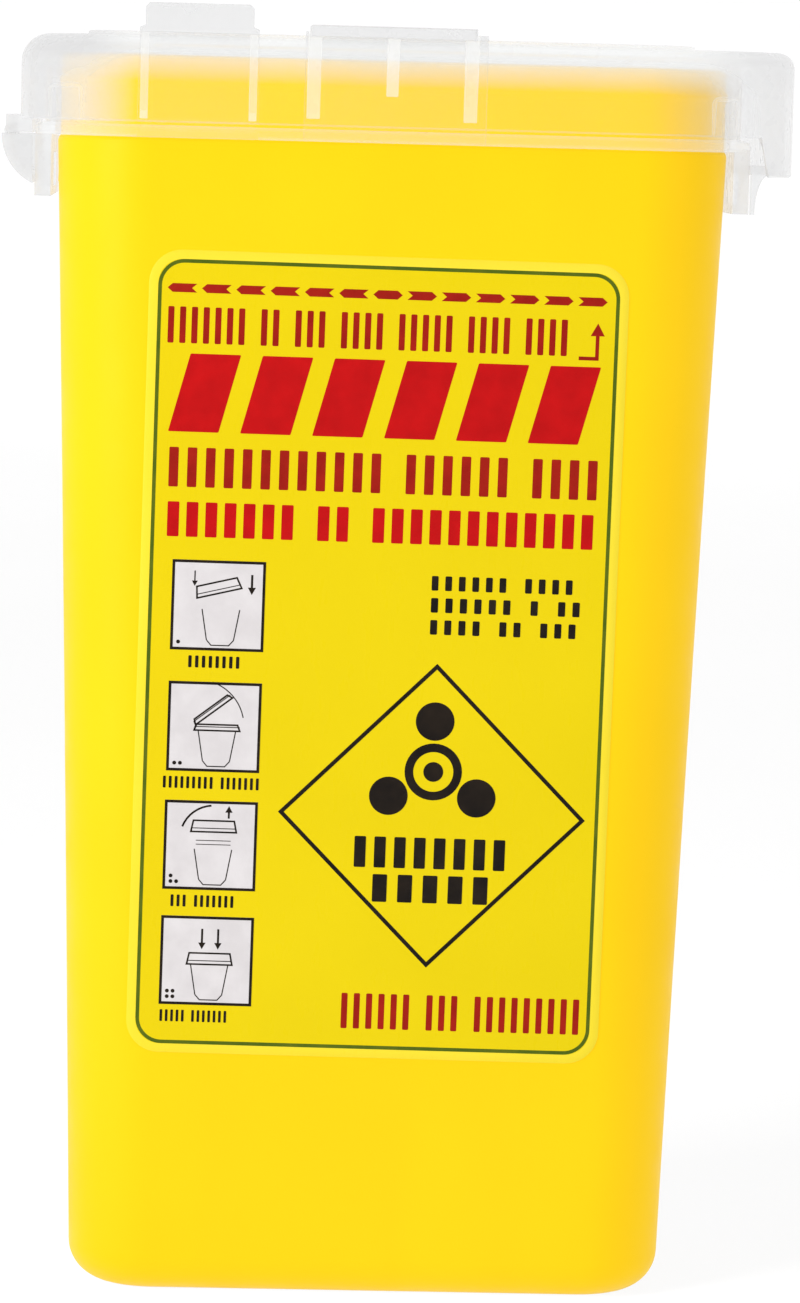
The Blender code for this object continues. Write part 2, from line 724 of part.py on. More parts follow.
def build():
    clear_scene()
    yellow = plastic("yellow_bin_plastic", (1.0, 0.70, 0.0), 0.42)
    film = plastic("label_film", (0.90, 0.72, 0.02), 0.35)
    milky = plastic("milky_lid_plastic", (0.93, 0.94, 0.95), 0.32, 0.45)

    make_bin(yellow)
    make_label(film)

    lid_origin = joint_empty("lid_lift_axis", (0, 0, LID_LINE))
    hang_on(lid_origin, make_frame(milky), make_wing(milky), make_shelf(milky))

    flap_axis = joint_empty("flap_hinge_axis", (HINGE_X, 0, HINGE_Z))
    hang_on(flap_axis, make_flap(milky), make_plug(milky), make_press_lip(milky))
    hang_on(
        flap_axis,
        make_prong("lock_prong_front", -1, milky),
        make_prong("lock_prong_back", 1, milky),
    )

    tab_middle = (TAB_LEFT + TAB_RIGHT) / 2
    tab_axis = joint_empty("release_tab_axis", (tab_middle, TAB_FRONT + TAB_WALL / 2, TAB_LOW))
    hang_on(tab_axis, make_release_tab(milky))


build()
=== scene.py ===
"""Looks for the one-litre sharps container: a matt yellow bin with a printed film on its front,
and a translucent lid with a long hinged flap, a press lip and a sprung release tab.

Metres, +Z up, the front faces -Y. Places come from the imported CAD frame.
"""

import math

import bmesh
import bpy
from mathutils import Matrix, Vector


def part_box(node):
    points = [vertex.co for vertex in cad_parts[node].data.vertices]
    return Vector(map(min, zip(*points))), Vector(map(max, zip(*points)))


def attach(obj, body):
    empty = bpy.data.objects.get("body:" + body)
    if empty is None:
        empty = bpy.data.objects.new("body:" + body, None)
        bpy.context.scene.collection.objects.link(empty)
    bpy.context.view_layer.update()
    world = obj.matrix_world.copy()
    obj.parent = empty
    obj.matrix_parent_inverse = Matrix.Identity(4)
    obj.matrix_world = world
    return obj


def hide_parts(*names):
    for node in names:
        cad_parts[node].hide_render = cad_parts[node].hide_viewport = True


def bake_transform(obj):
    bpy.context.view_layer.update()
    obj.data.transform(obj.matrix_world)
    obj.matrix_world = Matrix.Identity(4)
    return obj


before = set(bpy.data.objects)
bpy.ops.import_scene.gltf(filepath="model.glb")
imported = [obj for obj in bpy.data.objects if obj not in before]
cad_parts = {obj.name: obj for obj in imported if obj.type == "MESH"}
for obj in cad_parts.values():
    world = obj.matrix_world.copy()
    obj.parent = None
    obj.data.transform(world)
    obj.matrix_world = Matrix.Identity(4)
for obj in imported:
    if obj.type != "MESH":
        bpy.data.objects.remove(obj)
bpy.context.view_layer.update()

MM = 0.001

# -------- places read from the frame

BIN_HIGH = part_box("bin_shell")[1]
FILM_LOW, FILM_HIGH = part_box("front_label")
FRAME_LOW, FRAME_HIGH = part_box("lid_frame")
WING_LOW, WING_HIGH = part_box("hinge_wing")
SHELF_LOW, SHELF_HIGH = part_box("catch_shelf")
FLAP_LOW, FLAP_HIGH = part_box("flap_cap")
PLUG_LOW, PLUG_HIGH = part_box("flap_plug")
LIP_LOW, LIP_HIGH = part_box("press_lip")
TAB_LOW, TAB_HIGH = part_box("release_tab")

# Bin walls: half sizes at the lid line, and how they shrink on the way down.
RIM_OVERLAP = 12.1 * MM
LID_LINE = BIN_HIGH.z - RIM_OVERLAP
HALF_Y = 35.0 * MM
HALF_X = 50.1 * MM
FRONT_TAPER = 0.026
SIDE_TAPER = 0.03325
SIDE_BOW = 0.02
BIN_WALL = 1.5 * MM
BIN_FLOOR = 1.8 * MM
BIN_CORNER = 14.0 * MM
FOOT_RADIUS = 6.0 * MM
NECK_STEP = 0.4 * MM
WALL_STEPS = 30
LUG_Z = LID_LINE - 6 * MM
LUG_HEIGHT = 2.4 * MM
LUG_HALF = 6 * MM

# Lid frame.
FIT_GAP = 0.4 * MM
COLLAR_WALL = 1.5 * MM
COLLAR_IN_X = HALF_X + FIT_GAP
COLLAR_IN_Y = HALF_Y + FIT_GAP
COLLAR_CORNER = 13.5 * MM
DECK_TOP = FRAME_HIGH.z
DECK_THICKNESS = 1.0 * MM
DECK_LOW = DECK_TOP - DECK_THICKNESS
DECK_EDGE = 2.4 * MM
FLANGE_HEIGHT = 1.8 * MM
FLANGE_REACH = FRAME_HIGH.x - COLLAR_IN_X - COLLAR_WALL

# Flap.
FLAP_WALL = 1.1 * MM
LEAF_REACH = 2.1 * MM
PLATEAU_RISE = 0.6 * MM
FLAP_RIGHT = FLAP_HIGH.x
FLAP_LEFT = FLAP_LOW.x + LEAF_REACH
FLAP_CORNER = 13.0 * MM
FLAP_TOP = FLAP_HIGH.z - PLATEAU_RISE
SKIRT_LOW = LID_LINE + FLANGE_HEIGHT + FIT_GAP

# Where the lid's plastic looks milkier: over the bin's rim, and towards the lid's two ends. The
# ends' band is centred right of the middle, so the left end whitens further in: a painted highlight
# for the light from the left.
CROWN_LOW = DECK_TOP - 5.2 * MM
ENDS_MIDDLE_FOR_LEFT_HIGHLIGHT = 3.5 * MM
ENDS_START = COLLAR_IN_X - 8.5 * MM
ENDS_FULL = COLLAR_IN_X - 1.0 * MM


# -------- outlines and mesh helpers


def arc(cx, cy, radius, start, end, steps):
    angles = [math.radians(start + (end - start) * i / steps) for i in range(steps + 1)]
    return [(cx + radius * math.cos(a), cy + radius * math.sin(a)) for a in angles]


def rounded(x0, x1, y0, y1, radius, steps):
    """Points anticlockwise round a rectangle with arcs at its corners."""
    left, right, low, high = x0 + radius, x1 - radius, y0 + radius, y1 - radius
    corners = ((right, low, -90), (right, high, 0), (left, high, 90), (left, low, 180))
    points = []
    for cx, cy, start in corners:
        points += arc(cx, cy, radius, start, start + 90, steps)
    return points


def rectangle(x0, x1, y0, y1):
    return [(x0, y0), (x1, y0), (x1, y1), (x0, y1)]


def centred(wide, deep, radius, steps):
    return rounded(-wide, wide, -deep, deep, radius, steps)


def level(outline, z):
    return [(x, y, z) for x, y in outline]


def quarter(steps, first=0):
    """Angles of a quarter turn in equal steps."""
    return [math.radians(90 * step / steps) for step in range(first, steps + 1)]


def skin(bm, rings, looped=False):
    """Faces through rings of equal length. Its ends are capped, or it closes on itself."""
    rows = [[bm.verts.new(point) for point in ring] for ring in rings]
    pairs = list(zip(rows, rows[1:]))
    if looped:
        pairs.append((rows[-1], rows[0]))
    count = len(rows[0])
    for low, high in pairs:
        for i in range(count):
            j = (i + 1) % count
            bm.faces.new((low[i], low[j], high[j], high[i]))
    if not looped:
        bm.faces.new(list(reversed(rows[0])))
        bm.faces.new(rows[-1])


def solid(name, bm, material):
    """A mesh object with that material, its faces turned outwards."""
    bmesh.ops.recalc_face_normals(bm, faces=bm.faces)
    mesh = bpy.data.meshes.new(name)
    bm.to_mesh(mesh)
    bm.free()
    mesh.materials.append(material)
    obj = bpy.data.objects.new(name, mesh)
    bpy.context.scene.collection.objects.link(obj)
    return obj


def loft(name, rings, material, looped=False):
    bm = bmesh.new()
    skin(bm, rings, looped)
    return solid(name, bm, material)


def prism(name, outline, axis, start, end, material):
    """An outline made solid between two places on the axis that it doesn't hold."""
    place = {
        "X": lambda a, b, at: (at, a, b),
        "Y": lambda a, b, at: (a, at, b),
        "Z": lambda a, b, at: (a, b, at),
    }[axis]
    return loft(name, [[place(a, b, at) for a, b in outline] for at in (start, end)], material)


def block(name, low, high, material):
    outline = rectangle(low[0], high[0], low[1], high[1])
    return prism(name, outline, "Z", low[2], high[2], material)


def settle(obj):
    """Puts the result of the object's modifiers into its mesh."""
    graph = bpy.context.evaluated_depsgraph_get()
    mesh = bpy.data.meshes.new_from_object(obj.evaluated_get(graph))
    obj.modifiers.clear()
    obj.data = mesh


def combine(obj, operation, *others):
    """A Boolean with each of the others, which keep their materials and are then removed."""
    for other in others:
        modifier = obj.modifiers.new(other.name, "BOOLEAN")
        modifier.operation = operation
        modifier.solver = "EXACT"
        modifier.material_mode = "TRANSFER"
        modifier.object = other
    settle(obj)
    for other in others:
        bpy.data.objects.remove(other, do_unlink=True)


def soften(obj, width, segments=2):
    """Rounds the edges that stand at more than 35 degrees."""
    modifier = obj.modifiers.new("soften", "BEVEL")
    modifier.width = width
    modifier.segments = segments
    modifier.limit_method = "ANGLE"
    modifier.angle_limit = math.radians(35)
    settle(obj)


key_lit = bpy.data.collections.new("key_lit")


def light_paths(obj, slot_name):
    """No piece tints what stands beside it. The clear lid casts no shadow on what is inside it,
    and the key light leaves it alone."""
    clear = slot_name == "lid_plastic"
    obj.visible_diffuse = False
    obj.visible_shadow = not clear
    if not clear:
        key_lit.objects.link(obj)


def shaded(obj, slot_name, angle=40):
    """Smooth but for edges over that angle, with the light paths of its slot."""
    obj.data.shade_smooth()
    obj.data.set_sharp_from_angle(angle=math.radians(angle))
    light_paths(obj, slot_name)


def finished(obj, body, slot_name, *nodes, angle=40):
    """The piece rides on its body, takes the light paths of its slot, and stands for those CAD
    nodes.
    """
    shaded(obj, slot_name, angle)
    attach(obj, body)
    if nodes:
        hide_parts(*nodes)


# -------- materials


def with_values(node, values):
    """The node with those inputs set, by names whose spaces are written as _."""
    for socket, value in values.items():
        node.inputs[socket.replace("_", " ")].default_value = value
    return node


def add(material, kind, **values):
    return with_values(material.node_tree.nodes.new("ShaderNode" + kind), values)


def join(material, source, target):
    material.node_tree.links.new(source, target)


def new_material(name, **values):
    material = bpy.data.materials.new(name)
    material.use_nodes = True
    return material, with_values(material.node_tree.nodes["Principled BSDF"], values)


def object_place(material):
    return add(material, "TexCoord").outputs["Object"]


def noise(material, scale, detail, stretch=(1, 1, 1)):
    """Noise that is fixed to the object, with its scale in cycles per metre."""
    mapping = add(material, "Mapping", Scale=stretch)
    texture = add(material, "TexNoise", Scale=scale, Detail=detail)
    join(material, object_place(material), mapping.inputs["Vector"])
    join(material, mapping.outputs["Vector"], texture.inputs["Vector"])
    return texture.outputs["Fac"]


def ranged(material, source, low, high, from_low=0.3, from_high=0.7):
    node = add(material, "MapRange", To_Min=low, To_Max=high, From_Min=from_low, From_Max=from_high)
    join(material, source, node.inputs["Value"])
    return node.outputs["Result"]


def mixed(material, factor, first, second):
    """A colour mix whose two ends are each a colour or another node's output."""
    node = material.node_tree.nodes.new("ShaderNodeMix")
    node.data_type = "RGBA"
    join(material, factor, node.inputs[0])
    for socket, value in ((node.inputs[6], first), (node.inputs[7], second)):
        if isinstance(value, tuple):
            socket.default_value = (*value, 1)
        else:
            join(material, value, socket)
    return node.outputs[2]


def bumped(material, shader, height, distance, strength=1.0):
    node = add(material, "Bump", Strength=strength, Distance=distance)
    join(material, height, node.inputs["Height"])
    join(material, node.outputs["Normal"], shader.inputs["Normal"])


def bin_plastic(name, painted_shade_depths=None):
    """Matt moulded polypropylene: fine spark grain, faint flow streaks and a few dark specks.

    Its last argument gives the (lowest, highest) place between which a painted shade on the inside
    fades from darkest to full yellow."""
    material, shader = new_material(name, Specular_IOR_Level=0.12)
    clouds = ranged(material, noise(material, 22, 2), 0, 1)
    base = mixed(material, clouds, (0.90, 0.556, 0.0006), (0.93, 0.59, 0.001))
    streaks = ranged(material, noise(material, 60, 3, (1, 1, 0.12)), 0, 0.25, 0.45, 0.75)
    base = mixed(material, streaks, base, (0.89, 0.52, 0.0005))
    specks = add(material, "TexVoronoi", Scale=42)
    join(material, object_place(material), specks.inputs["Vector"])
    dark = ranged(material, specks.outputs["Distance"], 0.9, 0, 0.010, 0.022)
    base = mixed(material, dark, base, (0.20, 0.10, 0.01))
    if painted_shade_depths:
        # Painted shade: the inside goes darker towards the floor, in place of the shade its walls
        # would cast.
        share = place_share(material, "Z", 0.0, *painted_shade_depths)
        base = mixed(material, share, (0.46, 0.20, 0.0004), base)
    join(material, base, shader.inputs["Base Color"])
    rough = ranged(material, noise(material, 130, 4), 0.36, 0.50)
    join(material, rough, shader.inputs["Roughness"])
    bumped(material, shader, noise(material, 2600, 2), 0.02 * MM, 0.5)
    return material


def film(name, low, high):
    """Glossy printed film: slight waves from the wall, fine scuffs in its gloss."""
    gloss = {"Specular_IOR_Level": 0.08, "Coat_Weight": 0.02, "Coat_Roughness": 0.2}
    material, shader = new_material(name, **gloss)
    clouds = ranged(material, noise(material, 35, 3), 0, 1)
    join(material, mixed(material, clouds, low, high), shader.inputs["Base Color"])
    rough = ranged(material, noise(material, 700, 5, (1, 1, 0.3)), 0.24, 0.38)
    join(material, rough, shader.inputs["Roughness"])
    bumped(material, shader, noise(material, 90, 2), 0.12 * MM, 0.4)
    return material


def ink(name, low, high):
    """Screen-printed ink with a slightly mottled body."""
    material, shader = new_material(name, Specular_IOR_Level=0.1)
    clouds = ranged(material, noise(material, 260, 5), 0, 1, 0.35, 0.7)
    join(material, mixed(material, clouds, low, high), shader.inputs["Base Color"])
    rough = ranged(material, noise(material, 900, 3), 0.30, 0.48)
    join(material, rough, shader.inputs["Roughness"])
    bumped(material, shader, noise(material, 1800, 2), 0.01 * MM, 0.4)
    return material


def place_share(material, axis, middle, start, end):
    """0 within one distance of a place on an axis of the object, and 1 past the other."""
    split = add(material, "SeparateXYZ")
    join(material, object_place(material), split.inputs[0])
    away = maths(material, "ABSOLUTE", maths(material, "SUBTRACT", split.outputs[axis], middle))
    return ranged(material, away, 0, 1, start, end)


def maths(material, operation, first, second=None, clamp=False):
    """Arithmetic on one or two values, each a number or another node's output."""
    node = material.node_tree.nodes.new("ShaderNodeMath")
    node.operation = operation
    node.use_clamp = clamp
    for socket, value in zip(node.inputs, (first, second)):
        if isinstance(value, (int, float)):
            socket.default_value = value
        elif value is not None:
            join(material, value, socket)
    return node.outputs[0]


def milky(name, colour, face_on, edge_on, crown=None, ends=None):
    """Natural polypropylene: it grows milkier where the wall is thick or turns edge-on.

    face_on and edge_on are its two alphas. crown is (start height, full height, added alpha,
    colour there), and ends is the (added alpha, colour) past the places ENDS_START to ENDS_FULL."""
    material, shader = new_material(name, IOR=1.49, Specular_IOR_Level=0.5)
    clouds = ranged(material, noise(material, 70, 3), 0, 1)
    base = mixed(material, clouds, tuple(0.94 * c for c in colour), colour)
    facing = add(material, "LayerWeight", Blend=0.6)
    veil = ranged(material, facing.outputs["Facing"], face_on, edge_on, 0, 1)
    if crown:
        start, full, gain, crown_colour = crown
        share = place_share(material, "Z", 0.0, start, full)
        base = mixed(material, share, base, crown_colour)
        veil = maths(material, "ADD", veil, maths(material, "MULTIPLY", share, gain))
    if ends:
        gain, end_colour = ends
        # Centred right of the middle: the extra whitening on the left end is a painted highlight,
        # the rest is the milkier plastic.
        share = place_share(material, "X", ENDS_MIDDLE_FOR_LEFT_HIGHLIGHT, ENDS_START, ENDS_FULL)
        base = mixed(material, share, base, end_colour)
        veil = maths(material, "ADD", veil, maths(material, "MULTIPLY", share, gain))
    flow = ranged(material, noise(material, 45, 3, (1, 1, 0.5)), 0.85, 1.2)
    alpha = maths(material, "MULTIPLY", veil, flow, clamp=True)
    join(material, base, shader.inputs["Base Color"])
    join(material, alpha, shader.inputs["Alpha"])
    rough = ranged(material, noise(material, 400, 4), 0.22, 0.38)
    join(material, rough, shader.inputs["Roughness"])
    bumped(material, shader, noise(material, 260, 3), 0.02 * MM, 0.5)
    return material


# The painted shade on the inside would be at its darkest this far below the floor.
INSIDE_SHADE_DARKEST = -40 * MM

yellow = bin_plastic("bin_plastic")
inside_painted_shade = bin_plastic("bin_inside_painted_shade", (INSIDE_SHADE_DARKEST, BIN_HIGH.z))
film_face = film("label_film", (0.69, 0.53, 0.001), (0.72, 0.555, 0.0015))
film_margin = film("label_margin", (0.80, 0.63, 0.025), (0.83, 0.655, 0.035))
green_ink = ink("green_ink", (0.06, 0.10, 0.004), (0.10, 0.13, 0.006))
red_ink = ink("red_ink", (0.42, 0.001, 0.002), (0.50, 0.002, 0.003))
maroon_ink = ink("maroon_ink", (0.26, 0.006, 0.002), (0.33, 0.010, 0.003))
black_ink = ink("black_ink", (0.006, 0.004, 0.003), (0.016, 0.010, 0.006))
white_ink = ink("white_ink", (0.59, 0.56, 0.565), (0.65, 0.62, 0.625))
thin_lid = milky(
    "lid_wall",
    (0.66, 0.665, 0.67),
    0.016,
    0.34,
    crown=(CROWN_LOW, DECK_TOP, 0.27, (0.88, 0.885, 0.88)),
    ends=(0.20, (0.765, 0.765, 0.77)),
)
blade_lid = milky(
    "lid_blade",
    (0.60, 0.61, 0.62),
    0.022,
    0.36,
    crown=(DECK_TOP, FLAP_HIGH.z, 0.30, (0.67, 0.67, 0.675)),
)
ear_lid = milky("lid_ear", (0.765, 0.765, 0.77), 0.40, 0.55)
thick_lid = milky("lid_rib", (0.86, 0.865, 0.865), 0.16, 0.45)
bright_lid = milky("lid_edge", (0.96, 0.96, 0.94), 0.34, 0.62)


# -------- bin


def half_x(z):
    """Outer half width: the side walls lean in towards the floor and ease off low down."""
    drop = LID_LINE - min(z, LID_LINE)
    return HALF_X - SIDE_TAPER * drop + SIDE_BOW * drop * drop


def half_y(z):
    return HALF_Y - FRONT_TAPER * (LID_LINE - min(z, LID_LINE))


def bin_ring(z, inset):
    """A level ring of the bin, with corners that shrink with its depth and its inset."""
    radius = max(BIN_CORNER * half_y(z) / HALF_Y - 0.9 * inset, 0.5 * MM)
    return level(centred(half_x(z) - inset, half_y(z) - inset, radius, 20), z)


def underside_rings():
    """The shallow hollow, and the start of the flat ring that the bin stands on."""
    rise, width, soft = 0.7 * MM, FOOT_RADIUS + 5.5 * MM, 0.15 * MM
    return [
        bin_ring(rise, width + 4 * soft),
        bin_ring(rise - soft, width + soft),
        bin_ring(0.0, width - 2 * soft),
    ]


def outside_rings():
    """Round the foot, and up the wall to the step under the lid."""
    rings = []
    for angle in quarter(12):
        inset = FOOT_RADIUS * (1 - math.sin(angle))
        rings.append(bin_ring(FOOT_RADIUS * (1 - math.cos(angle)), inset))
    neck = LID_LINE - 2 * NECK_STEP
    for i in range(1, WALL_STEPS + 1):
        rings.append(bin_ring(FOOT_RADIUS + (neck - FOOT_RADIUS) * i / WALL_STEPS, 0))
    rings.append(bin_ring(LID_LINE - NECK_STEP, 0.3 * NECK_STEP))
    rings.append(bin_ring(LID_LINE, NECK_STEP))
    return rings


def rim_rings():
    """The bead round the neck, and the round lip."""
    rings = []
    bead, half_bead, depth, steps = BIN_HIGH.z - 4 * MM, 1.0 * MM, 0.3 * MM, 6
    for i in range(steps + 1):
        out = depth * math.sin(math.pi * i / steps)
        rings.append(bin_ring(bead + half_bead * (2 * i / steps - 1), NECK_STEP - out))
    lip, steps = BIN_WALL / 2, 8
    for i in range(steps + 1):
        angle = math.pi * i / steps
        inset = NECK_STEP + (BIN_WALL - NECK_STEP) / 2 * (1 - math.cos(angle))
        rings.append(bin_ring(BIN_HIGH.z - lip * (1 - math.sin(angle)), inset))
    return rings


def inside_rings():
    """Down the inside, and round to its floor."""
    radius, top = FOOT_RADIUS - BIN_WALL, BIN_HIGH.z - BIN_WALL / 2
    low = BIN_FLOOR + radius
    rings = []
    for i in range(1, WALL_STEPS + 1):
        rings.append(bin_ring(top + (low - top) * i / WALL_STEPS, BIN_WALL))
    for angle in quarter(8, 1):
        inset = BIN_WALL + radius * (1 - math.cos(angle))
        rings.append(bin_ring(BIN_FLOOR + radius * (1 - math.sin(angle)), inset))
    return rings


def lug(side):
    """The hook on an end wall that holds the lid's skirt."""
    inner, outer = half_x(LUG_Z) - BIN_WALL / 2, COLLAR_IN_X - 0.2 * MM
    outline = [
        (side * inner, LUG_Z - LUG_HEIGHT / 2),
        (side * outer, LUG_Z - LUG_HEIGHT / 2),
        (side * outer, LUG_Z),
        (side * inner, LUG_Z + LUG_HEIGHT),
    ]
    return prism(f"lug_{side + 1}", outline, "Y", -LUG_HALF, LUG_HALF, yellow)


def give_inside_painted_shade(body):
    """Gives the faces of the inside, below the rim, the yellow with a painted shade that darkens
    towards the floor.
    """
    body.data.materials.append(inside_painted_shade)
    for face in body.data.polygons:
        centre, normal = face.center, face.normal
        faces_in = normal.x * centre.x + normal.y * centre.y < 0 or normal.z > 0.5
        if faces_in and BIN_FLOOR * 0.9 < centre.z < BIN_HIGH.z - BIN_WALL:
            face.material_index = 1


def make_bin():
    """One wall from under the floor, over the rim and down inside, with a lug on each end."""
    rings = underside_rings() + outside_rings() + rim_rings() + inside_rings()
    body = loft("bin_body", rings, yellow)
    combine(body, "UNION", lug(-1), lug(1))
    give_inside_painted_shade(body)
    finished(body, "bin", "bin_plastic", "bin_shell", angle=30)


# -------- printed label

FILM_TILT = math.radians(0.5)
FILM_WIDTH, FILM_HEIGHT = 71.0 * MM, 120.3 * MM
BORDER_WIDTH, BORDER_HEIGHT = 68.3 * MM, 117.6 * MM
FILM_RADIUS, BORDER_RADIUS = 4.9 * MM, 3.9 * MM
FILM_THICKNESS = 0.16 * MM
INK_THICKNESS = 0.03 * MM
FILM_X = (FILM_LOW.x + FILM_HIGH.x) / 2
FILM_Z = (FILM_LOW.z + FILM_HIGH.z) / 2


def on_wall(right, up, lift):
    """A place on the front wall, from the label's centre along its own tilted axes."""
    x = FILM_X + right * math.cos(FILM_TILT) + up * math.sin(FILM_TILT)
    z = FILM_Z + up * math.cos(FILM_TILT) - right * math.sin(FILM_TILT)
    return (x, -half_y(z) - lift, z)


def make_film():
    """The film, with a clear margin outside the printed border and a rounded edge."""
    rings = []
    for inset, lift in (
        (0.0, 0.01 * MM),
        (0.0, FILM_THICKNESS * 0.6),
        (0.08 * MM, FILM_THICKNESS),
        ((FILM_WIDTH - BORDER_WIDTH) / 2, FILM_THICKNESS),
    ):
        outline = centred(FILM_WIDTH / 2 - inset, FILM_HEIGHT / 2 - inset, FILM_RADIUS - inset, 10)
        rings.append([on_wall(a, b, lift) for a, b in outline])
    piece = loft("label_sheet", rings, film_margin)
    piece.data.materials.append(film_face)
    caps = [face for face in piece.data.polygons if len(face.vertices) > 4]
    min(caps, key=lambda face: face.center.y).material_index = 1
    finished(piece, "bin", "label_film", "front_label")


class Print:
    """One colour of ink: flat shapes in millimetres, right and down from the border's corner."""

    def __init__(self, name, material, lift=0.0):
        self.name, self.material = name, material
        self.bm = bmesh.new()
        self.lift = FILM_THICKNESS + lift

    def place(self, point, height):
        right = point[0] * MM - BORDER_WIDTH / 2
        up = BORDER_HEIGHT / 2 - point[1] * MM
        return on_wall(right, up, self.lift + height)

    def shape(self, points):
        rings = [[self.place(p, height) for p in points] for height in (0.0, INK_THICKNESS)]
        skin(self.bm, rings)

    def band(self, outer, inner):
        rings = [
            [self.place(p, 0.0) for p in outer],
            [self.place(p, INK_THICKNESS) for p in outer],
            [self.place(p, INK_THICKNESS) for p in inner],
            [self.place(p, 0.0) for p in inner],
        ]
        skin(self.bm, rings, looped=True)

    def line(self, points, width):
        """An open line with square ends and mitred bends."""
        left, right = [], []
        for i, point in enumerate(points):
            here = Vector(point)
            before = Vector(points[max(i - 1, 0)])
            after = Vector(points[min(i + 1, len(points) - 1)])
            into = (here - before).normalized() if i else (after - here).normalized()
            out = (after - here).normalized() if i < len(points) - 1 else into
            side = (into + out).normalized()
            side = Vector((-side.y, side.x)) * (width / 2 / max(side.dot(into), 0.5))
            left.append(here + side)
            right.append(here - side)
        rows = []
        for a, b in zip(left, right):
            rows.append([self.place(a, 0), self.place(b, 0)])
            rows[-1] += [self.place(b, INK_THICKNESS), self.place(a, INK_THICKNESS)]
        skin(self.bm, rows)

    def frame(self, x0, x1, y0, y1, width, radius=0.0):
        """A border, drawn inwards from its outer size."""
        outlines = []
        for inset in (0.0, width):
            sides = (x0 + inset, x1 - inset, y0 + inset, y1 - inset)
            corners = rounded(*sides, radius - inset, 12) if radius else rectangle(*sides)
            outlines.append(corners)
        self.band(*outlines)

    def ring(self, cx, cy, outer, inner):
        self.band(*[arc(cx, cy, radius, 0, 360, 40)[:-1] for radius in (outer, inner)])

    def disc(self, cx, cy, radius, steps=24):
        self.shape(arc(cx, cy, radius, 0, 360, steps)[:-1])

    def arrow(self, start, end, width, head):
        """A straight arrow with a plain triangular head."""
        start, end = Vector(start), Vector(end)
        along = (end - start).normalized()
        neck = end - along * head
        across = Vector((-along.y, along.x))
        half, barb = across * width / 2, across * head * 0.55
        outline = [start + half, start - half, neck - half, neck - barb]
        self.shape(outline + [end, neck + barb, neck + half])

    def row(self, x0, x1, y0, y1, groups, ink_share, lean=0.0):
        """A row of plain upright blocks in groups, where the real label has a line of text."""
        gap = 0.9
        pitch = (x1 - x0) / (sum(groups) + gap * (len(groups) - 1) - (1 - ink_share))
        width = pitch * ink_share
        radius = min(0.18, width * 0.3)
        x = x0
        for group in groups:
            for _ in range(group):
                points = rounded(x, x + width, y0, y1, radius, 3)
                self.shape([(a + lean * ((y1 - b) / (y1 - y0) - 0.5), b) for a, b in points])
                x += pitch
            x += gap * pitch

    def finish(self):
        finished(solid(self.name, self.bm, self.material), "bin", "label_film")


def fill_line(maroon):
    """A dashed line of small arrows, pointing both ways from the middle, and an up arrow."""
    width, height, notch = 4.35, 1.3, 0.75
    top, first, pitch, each_side = 3.6, 1.4, 5.06, 6
    for i in range(2 * each_side + 1):
        x0, x1 = first + pitch * i, first + pitch * i + width
        left, left_mid = (x0 + notch, x0) if i <= each_side else (x0, x0 + notch)
        right, right_mid = (x1 - notch, x1) if i >= each_side else (x1, x1 - notch)
        points = [(left, top), (left_mid, top + height / 2), (left, top + height)]
        points += [(right, top + height), (right_mid, top + height / 2), (right, top)]
        maroon.shape(points)
    stroke = 0.55
    maroon.arrow((65.2, 12.9), (65.2, 7.4), stroke, 1.9)
    maroon.line([(62.5, 12.65), (65.4, 12.65)], stroke)


def text_rows(red, maroon, black):
    """The headings, the volume, and the small lines beside the picture guide, all as blocks."""
    maroon.row(1.6, 60.7, 7.0, 12.4, (7, 2, 3, 4, 5, 4, 4), 0.52)
    red.row(3.6, 64.4, 13.9, 25.5, (6,), 0.70, 3.0)
    maroon.row(2.4, 66.0, 27.8, 33.7, (12, 6, 4), 0.52)
    red.row(2.4, 65.7, 35.9, 41.1, (7, 2, 12), 0.62)
    maroon.row(30.8, 66.6, 109.1, 114.5, (6, 3, 9), 0.5)
    small = ((45.75, 63.0, (6, 4)), (49.05, 64.2, (6, 1, 2)), (52.35, 63.7, (4, 2, 3)))
    for top, right, groups in small:
        black.row(42.0, right, top, top + 2.2, groups, 0.5)


def emblem(black):
    """A plain diamond that holds a generic mark: three discs round a ring, over two rows."""
    cx, cy, half, width = 43.3, 81.9, 23.0, 0.62
    reaches = (half, half - 1.41 * width)
    black.band(*[[(cx, cy - r), (cx + r, cy), (cx, cy + r), (cx - r, cy)] for r in reaches])
    middle, reach, lobe, core, ring = 75.2, 7.6, 2.9, 1.5, (4.3, 3.0)
    black.ring(cx, middle, *ring)
    for turn in (90, 210, 330):
        angle = math.radians(turn)
        black.disc(cx + reach * math.cos(angle), middle - reach * math.sin(angle), lobe, 36)
    black.disc(cx, middle, core)
    black.row(31.9, 54.5, 85.2, 89.9, (8,), 0.58)
    black.row(34.8, 52.1, 90.9, 95.1, (5,), 0.58)


def container_drawing(black, x, y):
    """Outline of a tapered bin that stands in a picture box, from its rim's middle."""
    half, foot, height, corner, stroke = 2.8, 2.016, 5.4, (0.7, 0.8), 0.17
    floor, wall_low = y + height, y + height - corner[1]
    for side in (-1, 1):
        black.line([(x + side * half, y), (x + side * foot, wall_low)], stroke)
    flat = foot - corner[0]
    points = [(x - foot, wall_low), (x - flat, floor), (x + flat, floor), (x + foot, wall_low)]
    black.line(points, stroke)


